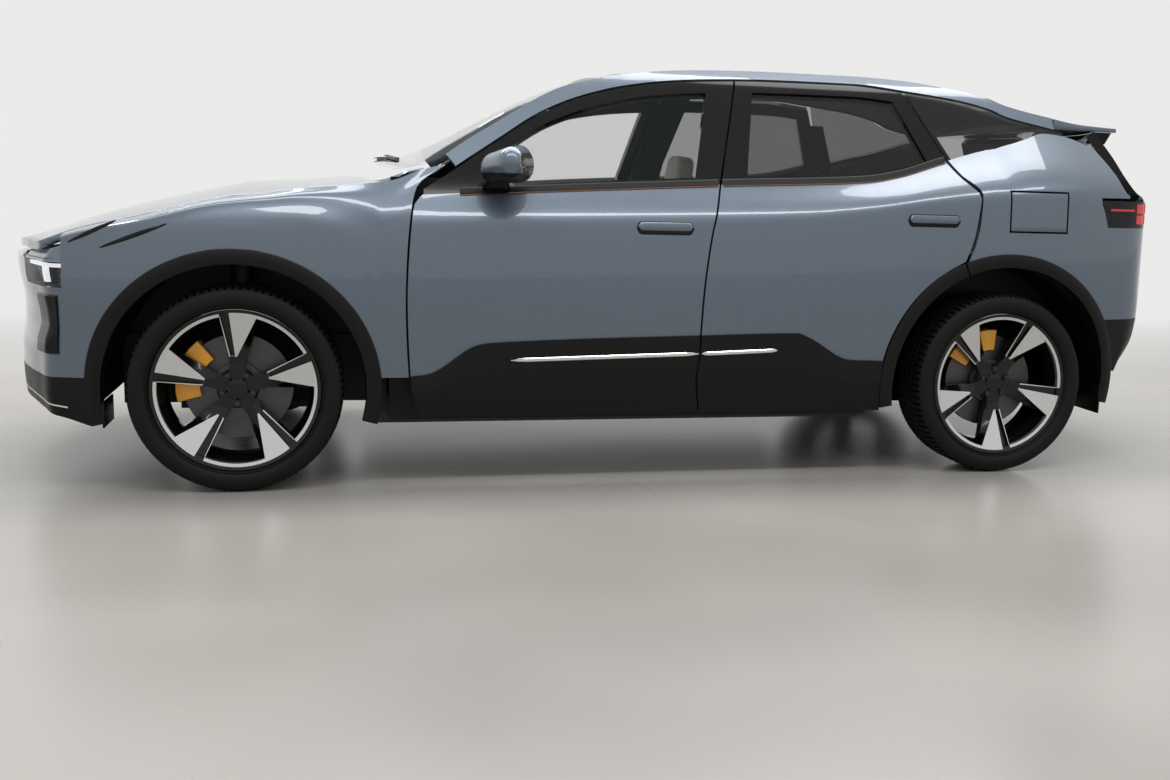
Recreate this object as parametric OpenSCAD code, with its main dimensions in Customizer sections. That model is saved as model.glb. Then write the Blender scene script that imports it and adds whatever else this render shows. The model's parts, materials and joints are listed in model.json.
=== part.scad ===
/* [Overall size] */
// Length from nose to tail
length = 4820; // [4500:10:5000]
// Width over the wheel arch trims
width = 1950; // [1900:5:2000]
// Height of the roof above the floor
height = 1630; // [1590:5:1670]
// Distance between the axles
wheelbase = 2985; // [2900:5:3050]
// Nose to front axle
front_overhang = 858; // [840:2:880]
// Distance between the tyre middles of one axle
track = 1630; // [1610:2:1640]

/* [Wheels] */
// Radius of the tyre tread
tyre_radius = 370; // [364:1:376]
// Width of the tyre
tyre_width = 264; // [250:1:268]
// Radius of the bead seat of the rim
rim_radius = 280; // [274:1:286]
// Width of the rim over its flanges
rim_width = 236; // [226:1:240]
// Radius of the brake disc
disc_radius = 190; // [180:1:196]
// Radius of the wheel spindle
spindle_radius = 25; // [20:1:28]
// Radius of the ball joint pins
pin_radius = 12; // [9:1:14]
// Number of wheel spokes
spoke_count = 5; // [4:1:7]

/* [Wheel arches] */
// Outer radius of the front arch trim
front_trim_radius = 505; // [500:1:510]
// Outer radius of the rear arch trim
rear_trim_radius = 536; // [530:1:540]
// Radial width of an arch trim
trim_width = 56; // [48:1:58]
// How far trims and claddings stand proud of the skin
trim_proud = 8; // [4:1:12]

/* [Panels] */
// Gap round a moving panel
shut_gap = 7.5; // [7:0.5:9]
// Thickness of a door below its window
door_depth = 104; // [90:2:115]
// Thickness of window frames and pillars
frame_depth = 44; // [38:1:50]
// Thickness of bolted outer panels
panel_depth = 36; // [30:1:40]
// Thickness of the glass panes
glass_depth = 6; // [5:0.5:8]
// Width of the window frame of a door
window_frame = 46; // [40:1:56]
// Height of the lower edge of the doors
door_bottom = 268; // [255:1:285]
// Radius of the hinge pins
hinge_radius = 5; // [4:0.5:6]
// Depth of the hinge axes inside the outer skin
hinge_inset = 12; // [12:0.5:13]
// Height of one hinge eye
hinge_height = 40; // [30:1:50]

/* [Cabin] */
// Height of the cabin floor
floor_height = 330; // [310:2:350]
// Underside of the battery
ground_clearance = 200; // [185:1:215]
// Width of one front seat
seat_width = 520; // [480:5:540]
// Radius of the steering wheel
steering_radius = 185; // [170:1:195]

/* [Hidden] */
$fn = 48;
// Cuts run past the face that they cut by this much
overrun = 2;
// Pieces of one body that seat beside each other stay this far apart
seat_gap = 0.5;
// Running clearance of pins and spindles
running_gap = 0.05;

half_width = width / 2;
rear_overhang = length - wheelbase - front_overhang;
nose_x = -length / 2;
tail_x = length / 2;
front_axle_x = nose_x + front_overhang;
rear_axle_x = front_axle_x + wheelbase;
hub_z = tyre_radius;
wheel_y = track / 2;

// Curves through [place, value] pairs that never overshoot
function span(k, x, i = 0) = i >= len(k) - 2 || x < k[i + 1][0] ? i : span(k, x, i + 1);
function rise(k, i) = (k[i + 1][1] - k[i][1]) / (k[i + 1][0] - k[i][0]);
function mean_rise(a, b) = a * b <= 0 ? 0 : 2 * a * b / (a + b);
function tangent(k, i) =
  i == 0 ? rise(k, 0)
  : i == len(k) - 1 ? rise(k, i - 1)
  : mean_rise(rise(k, i - 1), rise(k, i));
function blend(a, b, ma, mb, t) =
  let(t2 = t * t, t3 = t2 * t)
  a * (2 * t3 - 3 * t2 + 1) + ma * (t3 - 2 * t2 + t) + b * (3 * t2 - 2 * t3) + mb * (t3 - t2);
function curve(k, x) =
  let(
    i = span(k, x),
    h = k[i + 1][0] - k[i][0],
    t = min(1, max(0, (x - k[i][0]) / h))
  )
  blend(k[i][1], k[i + 1][1], tangent(k, i) * h, tangent(k, i + 1) * h, t);
function mix(a, b, t) = a + (b - a) * t;
function steps(n) = [for (i = [0 : n]) i / n];

// Stations run from -1 at the nose, 0 and 1 at the axles, to 2 at the tail
function at(s) =
  s < 0 ? front_axle_x + s * front_overhang
  : s > 1 ? rear_axle_x + (s - 1) * rear_overhang
  : front_axle_x + s * wheelbase;
function station(x) =
  x < front_axle_x ? (x - front_axle_x) / front_overhang
  : x > rear_axle_x ? 1 + (x - rear_axle_x) / rear_overhang
  : (x - front_axle_x) / wheelbase;

// Feature lines of the body as shares of its height over the stations
belt_shares = [[-1, 0.645], [0.15, 0.655], [0.22, 0.662], [0.345, 0.677], [0.6, 0.705], [0.8, 0.725],
  [0.85, 0.741], [0.92, 0.779], [1.087, 0.852], [1.19, 0.867], [2, 0.867]];
shoulder_shares = [[-1, 0.54], [-0.4, 0.56], [0, 0.575], [0.2, 0.588], [0.5, 0.607], [0.7, 0.626],
  [0.8, 0.65], [0.9, 0.678], [1, 0.692], [1.4, 0.699], [2, 0.699]];
window_top_shares = [[0.22, 0.674], [0.247, 0.706], [0.319, 0.795], [0.381, 0.866], [0.449, 0.912],
  [0.517, 0.939], [0.586, 0.952], [0.671, 0.96], [0.801, 0.962], [0.878, 0.95], [0.947, 0.935],
  [1.073, 0.897], [1.3, 0.868], [1.5, 0.845]];
edge_shares = [[0.13, 0.7], [0.23, 0.736], [0.271, 0.784], [0.319, 0.839], [0.397, 0.921], [0.451, 0.949],
  [0.507, 0.969], [0.594, 0.984], [0.68, 0.989], [0.812, 0.99], [0.887, 0.984], [0.955, 0.967],
  [1.073, 0.934], [1.253, 0.909], [1.5, 0.889], [1.85, 0.883]];
crown_shares = [[0.13, 0.713], [0.23, 0.774], [0.271, 0.816], [0.319, 0.862], [0.429, 0.955], [0.451, 0.966],
  [0.507, 0.985], [0.594, 0.997], [0.68, 1], [0.812, 1], [0.887, 0.994], [0.955, 0.979],
  [1.073, 0.955], [1.253, 0.934], [1.5, 0.914], [1.7, 0.9], [1.85, 0.893]];
quarter_top_shares = [[0.9, 0.769], [1.0, 0.808], [1.087, 0.848], [1.15, 0.862], [1.2, 0.864],
  [1.47, 0.826], [1.52, 0.77], [1.56, 0.715], [1.6, 0.704]];
bonnet_edge_shares = [[-0.8, 0.53], [-0.6, 0.57], [-0.343, 0.603], [-0.12, 0.635], [0.02, 0.651],
  [0.076, 0.667], [0.133, 0.678], [0.16, 0.684], [0.2, 0.7], [0.23, 0.73]];
bonnet_crown_shares = [[-1, 0.521], [-0.85, 0.552], [-0.59, 0.601], [-0.235, 0.651], [0.064, 0.688],
  [0.152, 0.704], [0.2, 0.71]];

// Half widths of the body as shares of its half width
plan_shares = [[-1, 0.78], [-0.9, 0.84], [-0.7, 0.915], [-0.5, 0.965], [-0.25, 0.992], [0, 1], [0.2, 0.99],
  [0.6, 0.988], [0.9, 0.995], [1, 1], [1.3, 0.985], [1.5, 0.95], [1.65, 0.905], [1.8, 0.83], [1.9, 0.74]];
cabin_side_shares = [[0.64, 0.94], [0.7055, 0.88], [0.7975, 0.79], [0.908, 0.677], [0.957, 0.615],
  [0.995, 0.52]];
flank_shares = [[0.13, 0.945], [0.26, 0.972], [0.43, 0.99]];
shoulder_share = 0.978;
bonnet_half_shares = [[-1, 0.8], [-0.7, 0.835], [-0.3, 0.865], [0, 0.868], [0.16, 0.872], [0.2, 0.862],
  [0.23, 0.85], [0.26, 0.83]];

// Set back of nose and tail as shares of the overhangs over the height shares
nose_shares = [[0.14, 0.06], [0.19, 0.012], [0.26, 0.006], [0.345, 0.012], [0.37, 0.03], [0.43, 0.014],
  [0.49, 0], [0.53, 0.006]];
tail_shares = [[0.2, 0.2], [0.26, 0.093], [0.32, 0.031], [0.36, 0.009], [0.43, 0], [0.69, 0], [0.705, 0.02],
  [0.72, 0.055], [0.82, 0.2], [0.875, 0.285], [0.9, 0.32]];
nose_bow_share = 0.35;
tail_bow_share = 0.43;

function belt_z(x) = height * curve(belt_shares, station(x));
function shoulder_z(x) = height * curve(shoulder_shares, station(x));
function window_top_z(x) = height * curve(window_top_shares, station(x));
function edge_z(x) = height * curve(edge_shares, station(x));
function crown_z(x) = height * curve(crown_shares, station(x));
function quarter_top_z(x) = height * curve(quarter_top_shares, station(x));
function bonnet_edge_z(x) = height * curve(bonnet_edge_shares, station(x));
function bonnet_crown_z(x) = height * curve(bonnet_crown_shares, station(x));
function plan(x) = half_width * curve(plan_shares, station(x));
function cabin_side(z) = curve(cabin_side_shares, z / height);
function lower_side(x, z) =
  curve(concat(flank_shares, [
    [shoulder_z(x) / height, shoulder_share],
    [belt_z(x) / height, cabin_side(belt_z(x))]
  ]), z / height);
// Half width of the outer skin at a place and height
function side(x, z) = plan(x) * (z >= belt_z(x) ? cabin_side(z) : lower_side(x, z));
function nose(y, z) =
  nose_x + front_overhang * curve(nose_shares, z / height)
  + front_overhang * nose_bow_share * pow(y / half_width, 2);
function tail(y, z) =
  tail_x - rear_overhang * curve(tail_shares, z / height)
  - rear_overhang * tail_bow_share * pow(y / half_width, 2);
// Height of the glass and roof between the side edges
function top_z(x, y) =
  crown_z(x) - (crown_z(x) - edge_z(x)) * pow(y / side(x, edge_z(x)), 2);
function bonnet_half(x) = half_width * curve(bonnet_half_shares, station(x));
function bonnet_z(x, y) =
  bonnet_crown_z(x) - (bonnet_crown_z(x) - bonnet_edge_z(x)) * pow(y / bonnet_half(x), 2);

// A closed panel between an outer and an inner grid of points, with cells left open
module shell(outer, inner, holes = []) {
  rows = len(outer);
  cols = len(outer[0]);
  n = rows * cols;
  function o(r, c) = r * cols + c;
  function i(r, c) = n + r * cols + c;
  function kept(r, c) =
    r >= 0 && c >= 0 && r < rows - 1 && c < cols - 1
    && len([for (h = holes) if (r >= h[0] && r < h[1] && c >= h[2] && c < h[3]) 1]) == 0;
  cells = [for (r = [0 : rows - 2], c = [0 : cols - 2]) if (kept(r, c)) [r, c]];
  faces = [for (cell = cells)
    let(r = cell[0], c = cell[1])
    each concat(
      [[o(r, c), o(r + 1, c), o(r + 1, c + 1)], [o(r, c), o(r + 1, c + 1), o(r, c + 1)]],
      [[i(r, c), i(r + 1, c + 1), i(r + 1, c)], [i(r, c), i(r, c + 1), i(r + 1, c + 1)]],
      kept(r - 1, c) ? []
        : [[o(r, c), o(r, c + 1), i(r, c + 1)], [o(r, c), i(r, c + 1), i(r, c)]],
      kept(r + 1, c) ? []
        : [[o(r + 1, c + 1), o(r + 1, c), i(r + 1, c)], [o(r + 1, c + 1), i(r + 1, c), i(r + 1, c + 1)]],
      kept(r, c - 1) ? []
        : [[o(r + 1, c), o(r, c), i(r, c)], [o(r + 1, c), i(r, c), i(r + 1, c)]],
      kept(r, c + 1) ? []
        : [[o(r, c + 1), o(r + 1, c + 1), i(r + 1, c + 1)], [o(r, c + 1), i(r + 1, c + 1), i(r, c + 1)]]
    )
  ];
  polyhedron(points = concat([for (row = outer) each row], [for (row = inner) each row]), faces = faces);
}

// Left pieces are drawn and right pieces are their mirror image
module on_side(s) {
  if (s < 0) children();
  else mirror([0, 1, 0]) children();
}
module both_sides() {
  children();
  mirror([0, 1, 0]) children();
}
function skin(x, z, out = 0) = [x, -side(x, z) - out, z];

// Seams of the doors as stations over the height shares
front_seam_shares = [[0.15, 0.2155], [0.24, 0.2038], [0.43, 0.1998], [0.477, 0.2005], [0.585, 0.2045],
  [0.644, 0.2096], [0.66, 0.2185], [0.676, 0.2215], [0.706, 0.245], [0.735, 0.266]];
middle_seam_shares = [[0.17, 0.57], [0.25, 0.5646], [0.307, 0.5674], [0.436, 0.5707], [0.579, 0.5798],
  [0.71, 0.5985], [0.955, 0.635]];
rear_seam_shares = [[0.53, 0.933], [0.59, 0.945], [0.66, 0.9515], [0.69, 0.9533], [0.738, 0.9335],
  [0.793, 0.919],
  [0.95, 0.877]];
function front_seam_x(z) = at(curve(front_seam_shares, z / height));
function middle_seam_x(z) = at(curve(middle_seam_shares, z / height));
function rear_seam_x(z) = at(curve(rear_seam_shares, z / height));
// The rear door ends on the arch trim below its upper seam
rear_split_angle = 112;
function arch_x(z) =
  rear_axle_x - sqrt(max(0, pow(rear_trim_radius, 2) - pow(z - hub_z, 2)));
function rear_end_x(z) =
  z < hub_z + rear_trim_radius * sin(rear_split_angle) ? arch_x(z) : rear_seam_x(z);

// Wheel placement: the wheel axis points outwards along local z
module at_wheel(x, s) {
  on_side(s) translate([x, -wheel_y, hub_z]) rotate([90, 0, 0]) children();
}

tyre_profile_shares = [[0, -0.78], [0.16, -0.82], [0.2, -0.93], [0.45, -1], [0.8, -0.96], [0.95, -0.86],
  [1, -0.62], [1, 0.62], [0.95, 0.86], [0.8, 0.96], [0.45, 1], [0.2, 0.93], [0.16, 0.82], [0, 0.78],
  [0.14, 0.74], [0.78, 0.8], [0.78, -0.8], [0.14, -0.74]];
module tyre(x, s) {
  color("#17181a") at_wheel(x, s) rotate_extrude()
    polygon([for (p = tyre_profile_shares)
      [mix(rim_radius, tyre_radius, p[0]), p[1] * tyre_width / 2]]);
}

rim_profile_shares = [[0.955, -1], [1.045, -1], [1.045, -0.93], [0.998, -0.9], [0.998, -0.62], [0.93, -0.4],
  [0.93, 0.4], [0.998, 0.66], [0.998, 0.9], [1.045, 0.93], [1.045, 1], [1.005, 1], [0.96, 0.6], [0.9, 0.3],
  [0.89, -0.4], [0.955, -0.8]];
dish_shares = [[0, 0.17], [0.3, 0.17], [0.98, 0.62], [1, 0.96], [0.34, 0.52], [0.26, 0.5], [0, 0.5]];
spoke_shares = [[-0.11, 0.1], [-0.085, 0.34], [-0.2, 0.98], [0.3, 0.98], [0.105, 0.34], [0.11, 0.1]];
slot_shares = [[-0.075, 0.42], [-0.02, 0.42], [-0.06, 0.93], [-0.16, 0.93]];
hub_share = 0.26;
rim_turn_front = 0;
rim_turn_rear = -33;
bolt_circle_share = 0.2;
bolt_radius = 11;
module rim(x, s, turn) {
  color("#26282b") at_wheel(x, s) rotate(turn) {
    rotate_extrude() polygon([for (p = rim_profile_shares) [p[0] * rim_radius, p[1] * rim_width / 2]]);
    difference() {
      intersection() {
        rotate_extrude() polygon([for (p = dish_shares) [p[0] * rim_radius, p[1] * rim_width / 2]]);
        linear_extrude(rim_width, center = true) union() {
          circle(hub_share * rim_radius);
          for (k = [0 : spoke_count - 1]) rotate(k * 360 / spoke_count) difference() {
            polygon(spoke_shares * rim_radius);
            polygon(slot_shares * rim_radius);
          }
        }
      }
      for (k = [0 : spoke_count - 1]) rotate((k + 1 / 2) * 360 / spoke_count)
        translate([0, bolt_circle_share * rim_radius, 0]) cylinder(r = bolt_radius, h = rim_width);
    }
  }
}

hat_face = dish_shares[0][1] * rim_width / 2;
hat_radius = 88;
disc_inner = -34;
disc_thickness = 32;
spindle_tip = hat_face - 6;
module brake_disc(x, s) {
  color("#8d9094") at_wheel(x, s) difference() {
    union() {
      translate([0, 0, disc_inner]) cylinder(r = disc_radius, h = disc_thickness);
      translate([0, 0, disc_inner]) cylinder(r = hat_radius, h = hat_face - disc_inner);
    }
    translate([0, 0, disc_inner - overrun])
      cylinder(r = spindle_radius + running_gap, h = spindle_tip - disc_inner + running_gap + overrun);
  }
}

// Front knuckles turn about upright pins inside the rims
kingpin_inset = 80;
kingpin_y = wheel_y - kingpin_inset;
boss_radius = 27;
boss_near = 118;
boss_far = 162;
knuckle_near = -42;
knuckle_radius = 56;
knuckle_width = 46;
steer_arm = 130;
steer_arm_height = 28;
module knuckle(s) {
  color("#6f7276") on_side(s) translate([front_axle_x, -wheel_y, hub_z]) difference() {
    union() {
      rotate([90, 0, 0]) translate([0, 0, -kingpin_inset - boss_radius])
        cylinder(r = knuckle_radius, h = knuckle_near + kingpin_inset + boss_radius);
      rotate([90, 0, 0]) translate([0, 0, knuckle_near - overrun])
        cylinder(r = spindle_radius, h = spindle_tip - knuckle_near);
      for (m = [-1, 1]) translate([0, kingpin_inset, m * (boss_near + boss_far) / 2])
        cylinder(r = boss_radius, h = boss_far - boss_near, center = true);
      translate([-knuckle_width / 2, kingpin_inset - boss_radius, -boss_near - overrun])
        cube([knuckle_width, boss_radius, 2 * (boss_near + overrun)]);
      translate([0, kingpin_inset - boss_radius, -boss_near])
        cube([steer_arm, boss_radius, steer_arm_height]);
    }
    for (m = [-1, 1]) translate([0, kingpin_inset, m * (boss_near + boss_far) / 2])
      cylinder(r = pin_radius + running_gap, h = 2 * (boss_far - boss_near), center = true);
  }
}

// Calipers straddle the rim of the discs: on the front side at the front, above the hub at the rear
caliper_span = 66;
caliper_gap = 6;
caliper_wall = 20;
caliper_reach = 60;
caliper_angle_front = 162;
caliper_angle_rear = 118;
caliper_foot = 60;
caliper_seat = 0.3;
caliper_step = 11;
module ring_sector(r0, r1, angles, h) {
  back = [for (k = [len(angles) - 1 : -1 : 0]) angles[k]];
  linear_extrude(h) polygon(concat(
    [for (a = angles) [r0 * cos(a), r0 * sin(a)]],
    [for (a = back) [r1 * cos(a), r1 * sin(a)]]
  ));
}
module caliper(x, s, turn) {
  inner = disc_inner - caliper_gap - caliper_wall;
  rim = disc_radius + caliper_gap;
  angles = [for (a = [-caliper_span / 2 : caliper_step : caliper_span / 2]) turn + a];
  slot_angles = [for (a = [-caliper_span : caliper_step : caliper_span]) turn + a];
  color("#d7962a") at_wheel(x, s) {
    difference() {
      translate([0, 0, inner]) ring_sector(disc_radius - caliper_reach, rim + caliper_wall, angles,
        disc_thickness + 2 * (caliper_gap + caliper_wall));
      translate([0, 0, disc_inner - caliper_gap])
        ring_sector(disc_radius - 2 * caliper_reach, rim, slot_angles,
          disc_thickness + 2 * caliper_gap);
    }
    rotate(turn) translate([knuckle_radius + caliper_seat, -caliper_foot / 2, inner])
      cube([disc_radius - caliper_reach - knuckle_radius + caliper_foot / 4, caliper_foot, caliper_wall]);
  }
}

// Arch trims, liners and mud flaps: columns every ten degrees, shared with the panels round them
arch_step = 10;
trim_depth = 34;
liner_wall = 8;
liner_inset_front = 255;
liner_inner_front = wheel_y - liner_inset_front;
liner_outer_share = 0.955;
liner_door_share = 0.9;
liner_outer = half_width * liner_outer_share;
liner_outer_door = half_width * liner_door_share;
liner_inset_rear = 215;
liner_inner_rear = wheel_y - liner_inset_rear;
rear_cut_angle = 80;
flap_wall = 8;
flap_bottom = 238;
flap_width = 190;
flap_outer_share = 0.94;
front_trim_span = [195, -15];
front_liner_span = [185, -5];
rear_trim_span = [110, -10];
rear_liner_span = [180, -10];
function arch_angles(span) = [for (k = [span[0] : -arch_step : span[1]]) k];
function arch_point(x, r, a) = [x + r * cos(a), hub_z + r * sin(a)];
function skin_at(p, out = 0) = skin(p[0], p[1], out);
module arch_trim(x, r, angles) {
  shell(
    [for (q = [r - trim_width, r]) [for (a = angles) skin_at(arch_point(x, q, a), trim_proud)]],
    [for (q = [r - trim_width, r]) [for (a = angles) skin_at(arch_point(x, q, a), -trim_depth)]]
  );
}
module arch_liner(x, r, inner, span) {
  translate([x, -inner, hub_z]) rotate([90, 0, 0])
    ring_sector(r + 2 * seat_gap, r + liner_wall, arch_angles(span), liner_outer - inner);
}
module front_arches() {
  color("#202225") both_sides() {
    arch_trim(front_axle_x, front_trim_radius, arch_angles(front_trim_span));
    arch_liner(front_axle_x, front_trim_radius - trim_width, liner_inner_front, front_liner_span);
    translate([front_axle_x - front_trim_radius + trim_width, -half_width * flap_outer_share,
      flap_bottom - flap_wall])
      cube([flap_wall, flap_width, hub_z - flap_bottom]);
  }
}
module rear_arches() {
  color("#202225") both_sides() {
    arch_trim(rear_axle_x, rear_trim_radius, arch_angles(rear_trim_span));
    difference() {
      arch_liner(rear_axle_x, rear_trim_radius - trim_width, liner_inner_rear, rear_liner_span);
      translate([rear_axle_x, -liner_outer_door, hub_z]) rotate([90, 0, 0])
        ring_sector(rear_trim_radius - 2 * trim_width, rear_trim_radius,
          [for (a = [rear_split_angle : arch_step : rear_split_angle + rear_cut_angle]) a],
          liner_outer - liner_outer_door + overrun);
    }
    translate([rear_axle_x + rear_trim_radius - trim_width - flap_wall, -half_width * flap_outer_share,
      flap_bottom])
      cube([flap_wall, flap_width, hub_z - flap_bottom]);
  }
}

// Front wings: from the headlamp over the arch to the door seam and the windscreen
wing_front_share = -0.655;
wing_row_shares = [0, 0.16, 0.36, 0.58, 0.8, 0.93, 1];
wing_span = [135, 5];
wing_seam_share = 0.21;
pillar_foot_gap = 45;
wing_angles = arch_angles(wing_span);
wing_tail_shares = [0.35, 0.7, 1];
wing_head_shares = [0, 0.34, 0.67];
wing_first_x = at(wing_front_share);
wing_arch_end = arch_point(front_axle_x, front_trim_radius, wing_span[1]);
function wing_top(x) = bonnet_edge_z(x);
function wing_point(x, zb, v) =
  let(z = mix(zb, wing_top(x), v))
  v < 1 ? skin(x, min(z, wing_top(x) - trim_proud)) : [x, -bonnet_half(x) - shut_gap, wing_top(x)];
function wing_tail_point(u, v) =
  let(
    x0 = mix(wing_arch_end[0], front_seam_x(mix(wing_arch_end[1], wing_top(at(wing_seam_share)),
      v)) - shut_gap, u),
    z = mix(wing_arch_end[1], wing_top(x0), v),
    gap = z > belt_z(x0) - window_frame ? pillar_foot_gap : shut_gap,
    x = mix(wing_arch_end[0], front_seam_x(z) - gap, u)
  )
  wing_point(x, wing_arch_end[1], v);
function wing_outer() = [for (v = wing_row_shares) concat(
  [for (u = wing_head_shares)
    let(first = arch_point(front_axle_x, front_trim_radius, wing_angles[0]))
    wing_point(mix(wing_first_x, first[0], u), first[1], v)],
  [for (a = wing_angles)
    let(p = arch_point(front_axle_x, front_trim_radius, a)) wing_point(p[0], p[1], v)],
  [for (u = wing_tail_shares) wing_tail_point(u, v)]
)];
function sunk(p, inward, down) = [p[0], p[1] + inward, p[2] - down];
module front_wings() {
  outer = wing_outer();
  last = len(outer) - 1;
  color("#5d6b78") both_sides() shell(outer, [for (r = [0 : last]) [for (p = outer[r])
    r < last ? sunk(p, panel_depth, 0) : sunk(p, 0, panel_depth)]]);
}

// Bonnet with its hinge lugs
bonnet_front_share = 0.522;
bonnet_rear_share = 0.14;
bonnet_rear_bow = 92;
bonnet_depth = 28;
bonnet_rows = 10;
bonnet_cols = 9;
bonnet_hinge_share = 0.165;
bonnet_hinge_y_share = 0.8;
bonnet_nose_share = -0.8;
bonnet_hinge_x = at(bonnet_hinge_share);
bonnet_hinge_y = half_width * bonnet_hinge_y_share;
bonnet_lug = 24;
bonnet_lug_height = 36;
bonnet_hinge_z = bonnet_z(bonnet_hinge_x, bonnet_hinge_y) - bonnet_depth - bonnet_lug;
bonnet_trim = 2;
lug_width = 30;
function bonnet_point(t, q) =
  let(
    front_y = q * bonnet_half(at(bonnet_nose_share)),
    front_x = nose(front_y, height * bonnet_front_share) + shut_gap,
    rear_x = at(bonnet_rear_share) + bonnet_rear_bow * q * q,
    x = mix(front_x, rear_x, t),
    y = q * (bonnet_half(x) - bonnet_trim)
  )
  [x, y, bonnet_z(x, y)];
module bonnet() {
  outer = [for (q = steps(bonnet_rows)) [for (t = steps(bonnet_cols)) bonnet_point(t, 2 * q - 1)]];
  color("#5d6b78") {
    shell(outer, [for (row = outer) [for (p = row) sunk(p, 0, bonnet_depth)]]);
    for (s = [-1, 1]) translate([bonnet_hinge_x, s * bonnet_hinge_y, bonnet_hinge_z]) difference() {
      union() {
        rotate([90, 0, 0]) cylinder(r = bonnet_lug / 2, h = lug_width, center = true);
        translate([-bonnet_lug * 2, -lug_width / 2, -bonnet_lug / 2])
          cube([bonnet_lug * 2, lug_width, bonnet_lug_height + overrun]);
      }
      rotate([90, 0, 0]) cylinder(r = hinge_radius + running_gap, h = 2 * lug_width, center = true);
    }
  }
}

// Roof rails and pillars along both sides, tied by a header at each end of the roof glass
rail_foot_shares = [0.26, 0.248];
rail_station_shares = [0.26, 0.275, 0.319, 0.36, 0.4, 0.44, 0.48, 0.54, 0.6, 0.68, 0.75, 0.812, 0.887,
  0.955, 1.02, 1.08, 1.15, 1.24, 1.31];
rail_row_shares = [0, 0.5, 1];
rail_tuck = 16;
seam_slack = 3;
function rail_low(x) = min(window_top_z(x) + shut_gap + seam_slack, edge_z(x) - rail_tuck);
function rail_point(s, v) =
  let(
    x = at(s == rail_foot_shares[0] ? mix(rail_foot_shares[0], rail_foot_shares[1], v) : s),
    z = mix(rail_low(x), edge_z(x), v)
  )
  skin(x, z);
module roof_rail() {
  outer = [for (v = rail_row_shares) [for (s = rail_station_shares) rail_point(s, v)]];
  inner = [for (r = [0 : 2]) [for (c = [0 : len(outer[0]) - 1])
    let(p = outer[r == 2 ? 2 : 0][c])
    [p[0], p[1] + frame_depth * (r == 2 ? rail_lip_share : 1),
      mix(outer[0][c][2], outer[2][c][2], rail_sink_shares[r])]]];
  shell(outer, inner);
}
rail_lip_share = 0.25;
rail_sink_shares = [0, 0.2, 0.4];
edge_inset = 3;
roof_rows = 8;
function top_point(x, q, inset) =
  let(y = q * (side(x, edge_z(x)) - inset)) [x, y, top_z(x, y)];
module top_panel(stations, inset, depth, bow_front = 0, bow_rear = 0) {
  n = len(stations) - 1;
  outer = [for (r = steps(roof_rows)) [for (k = [0 : n])
    let(
      q = 2 * r - 1,
      bow = mix(bow_front, bow_rear, k / n),
      edge = top_point(at(stations[k]), q, inset),
      x = edge[0] - bow * (1 - q * q),
      z = top_z(x, min(1, abs(q)) * (side(x, edge_z(x)) - inset))
    )
    [x, edge[1], abs(q) == 1 ? edge[2] : z]]];
  shell(outer, [for (row = outer) [for (p = row) sunk(p, 0, depth)]]);
}
header_depth = 40;
tail_seam_share = 1.31;
tail_hinge_setback = 40;
tail_hinge_x = at(tail_seam_share) - tail_hinge_setback;
tail_hinge_y_share = 0.46;
tail_hinge_sink = 16;
tail_hinge_y = half_width * tail_hinge_y_share;
tail_hinge_z = top_z(tail_hinge_x, tail_hinge_y) - tail_hinge_sink;
// Door posts: a hinge post, a middle pillar behind the seam of the doors and the sill below them
sill_outer_share = 0.8;
sill_inner_share = 0.705;
sill_outer = half_width * sill_outer_share;
sill_inner = half_width * sill_inner_share;
sill_top = 400;
sill_bottom = 230;
post_front_share = 0.178;
post_rear_share = 0.236;
post_inner_share = 0.775;
post_outer_share = 0.86;
post_skin_share = 0.822;
post_top_share = 0.66;
post_inner = half_width * post_inner_share;
post_outer = half_width * post_outer_share;
post_skin = half_width * post_skin_share;
post_arm_share = 0.275;
arm_low_share = 0.64;
arm_high_share = 0.7;
beam_first = 92;
beam_span = 100;
pillar_share = 0.6;
eye_height_share = 0.68;
eye_height = hinge_height * eye_height_share;
pillar_offsets = [-50, 0, 50, 92];
pillar_gap = 8;
pillar_sink = 50;
module middle_pillar() {
  top = rail_low(middle_seam_x(height)) - seam_slack - shut_gap - overrun;
  belt = belt_z(middle_seam_x(belt_z(at(pillar_share))));
  rows = [
    sill_top + seat_gap, mix(sill_top, belt, 1 / 3), mix(sill_top, belt, 2 / 3), belt + shut_gap,
    belt + 2 * window_frame, mix(belt, top, 3 / 4), top, top
  ];
  function place(r, d, more) =
    let(z = rows[r], x = middle_seam_x(z) + d, low = rail_low(x))
    r < 7
    ? skin(x, z, -(r < 4 ? door_depth : frame_depth) - pillar_gap - (r < 3 ? pillar_sink : 0) - more)
    : [x, -side(x, low) + frame_depth + pillar_gap + more, low + shut_gap];
  shell(
    [for (r = [0 : 7]) [for (d = pillar_offsets) place(r, d, 0)]],
    [for (r = [0 : 7]) [for (d = pillar_offsets) place(r, d, frame_depth)]]
  );
}
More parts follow.
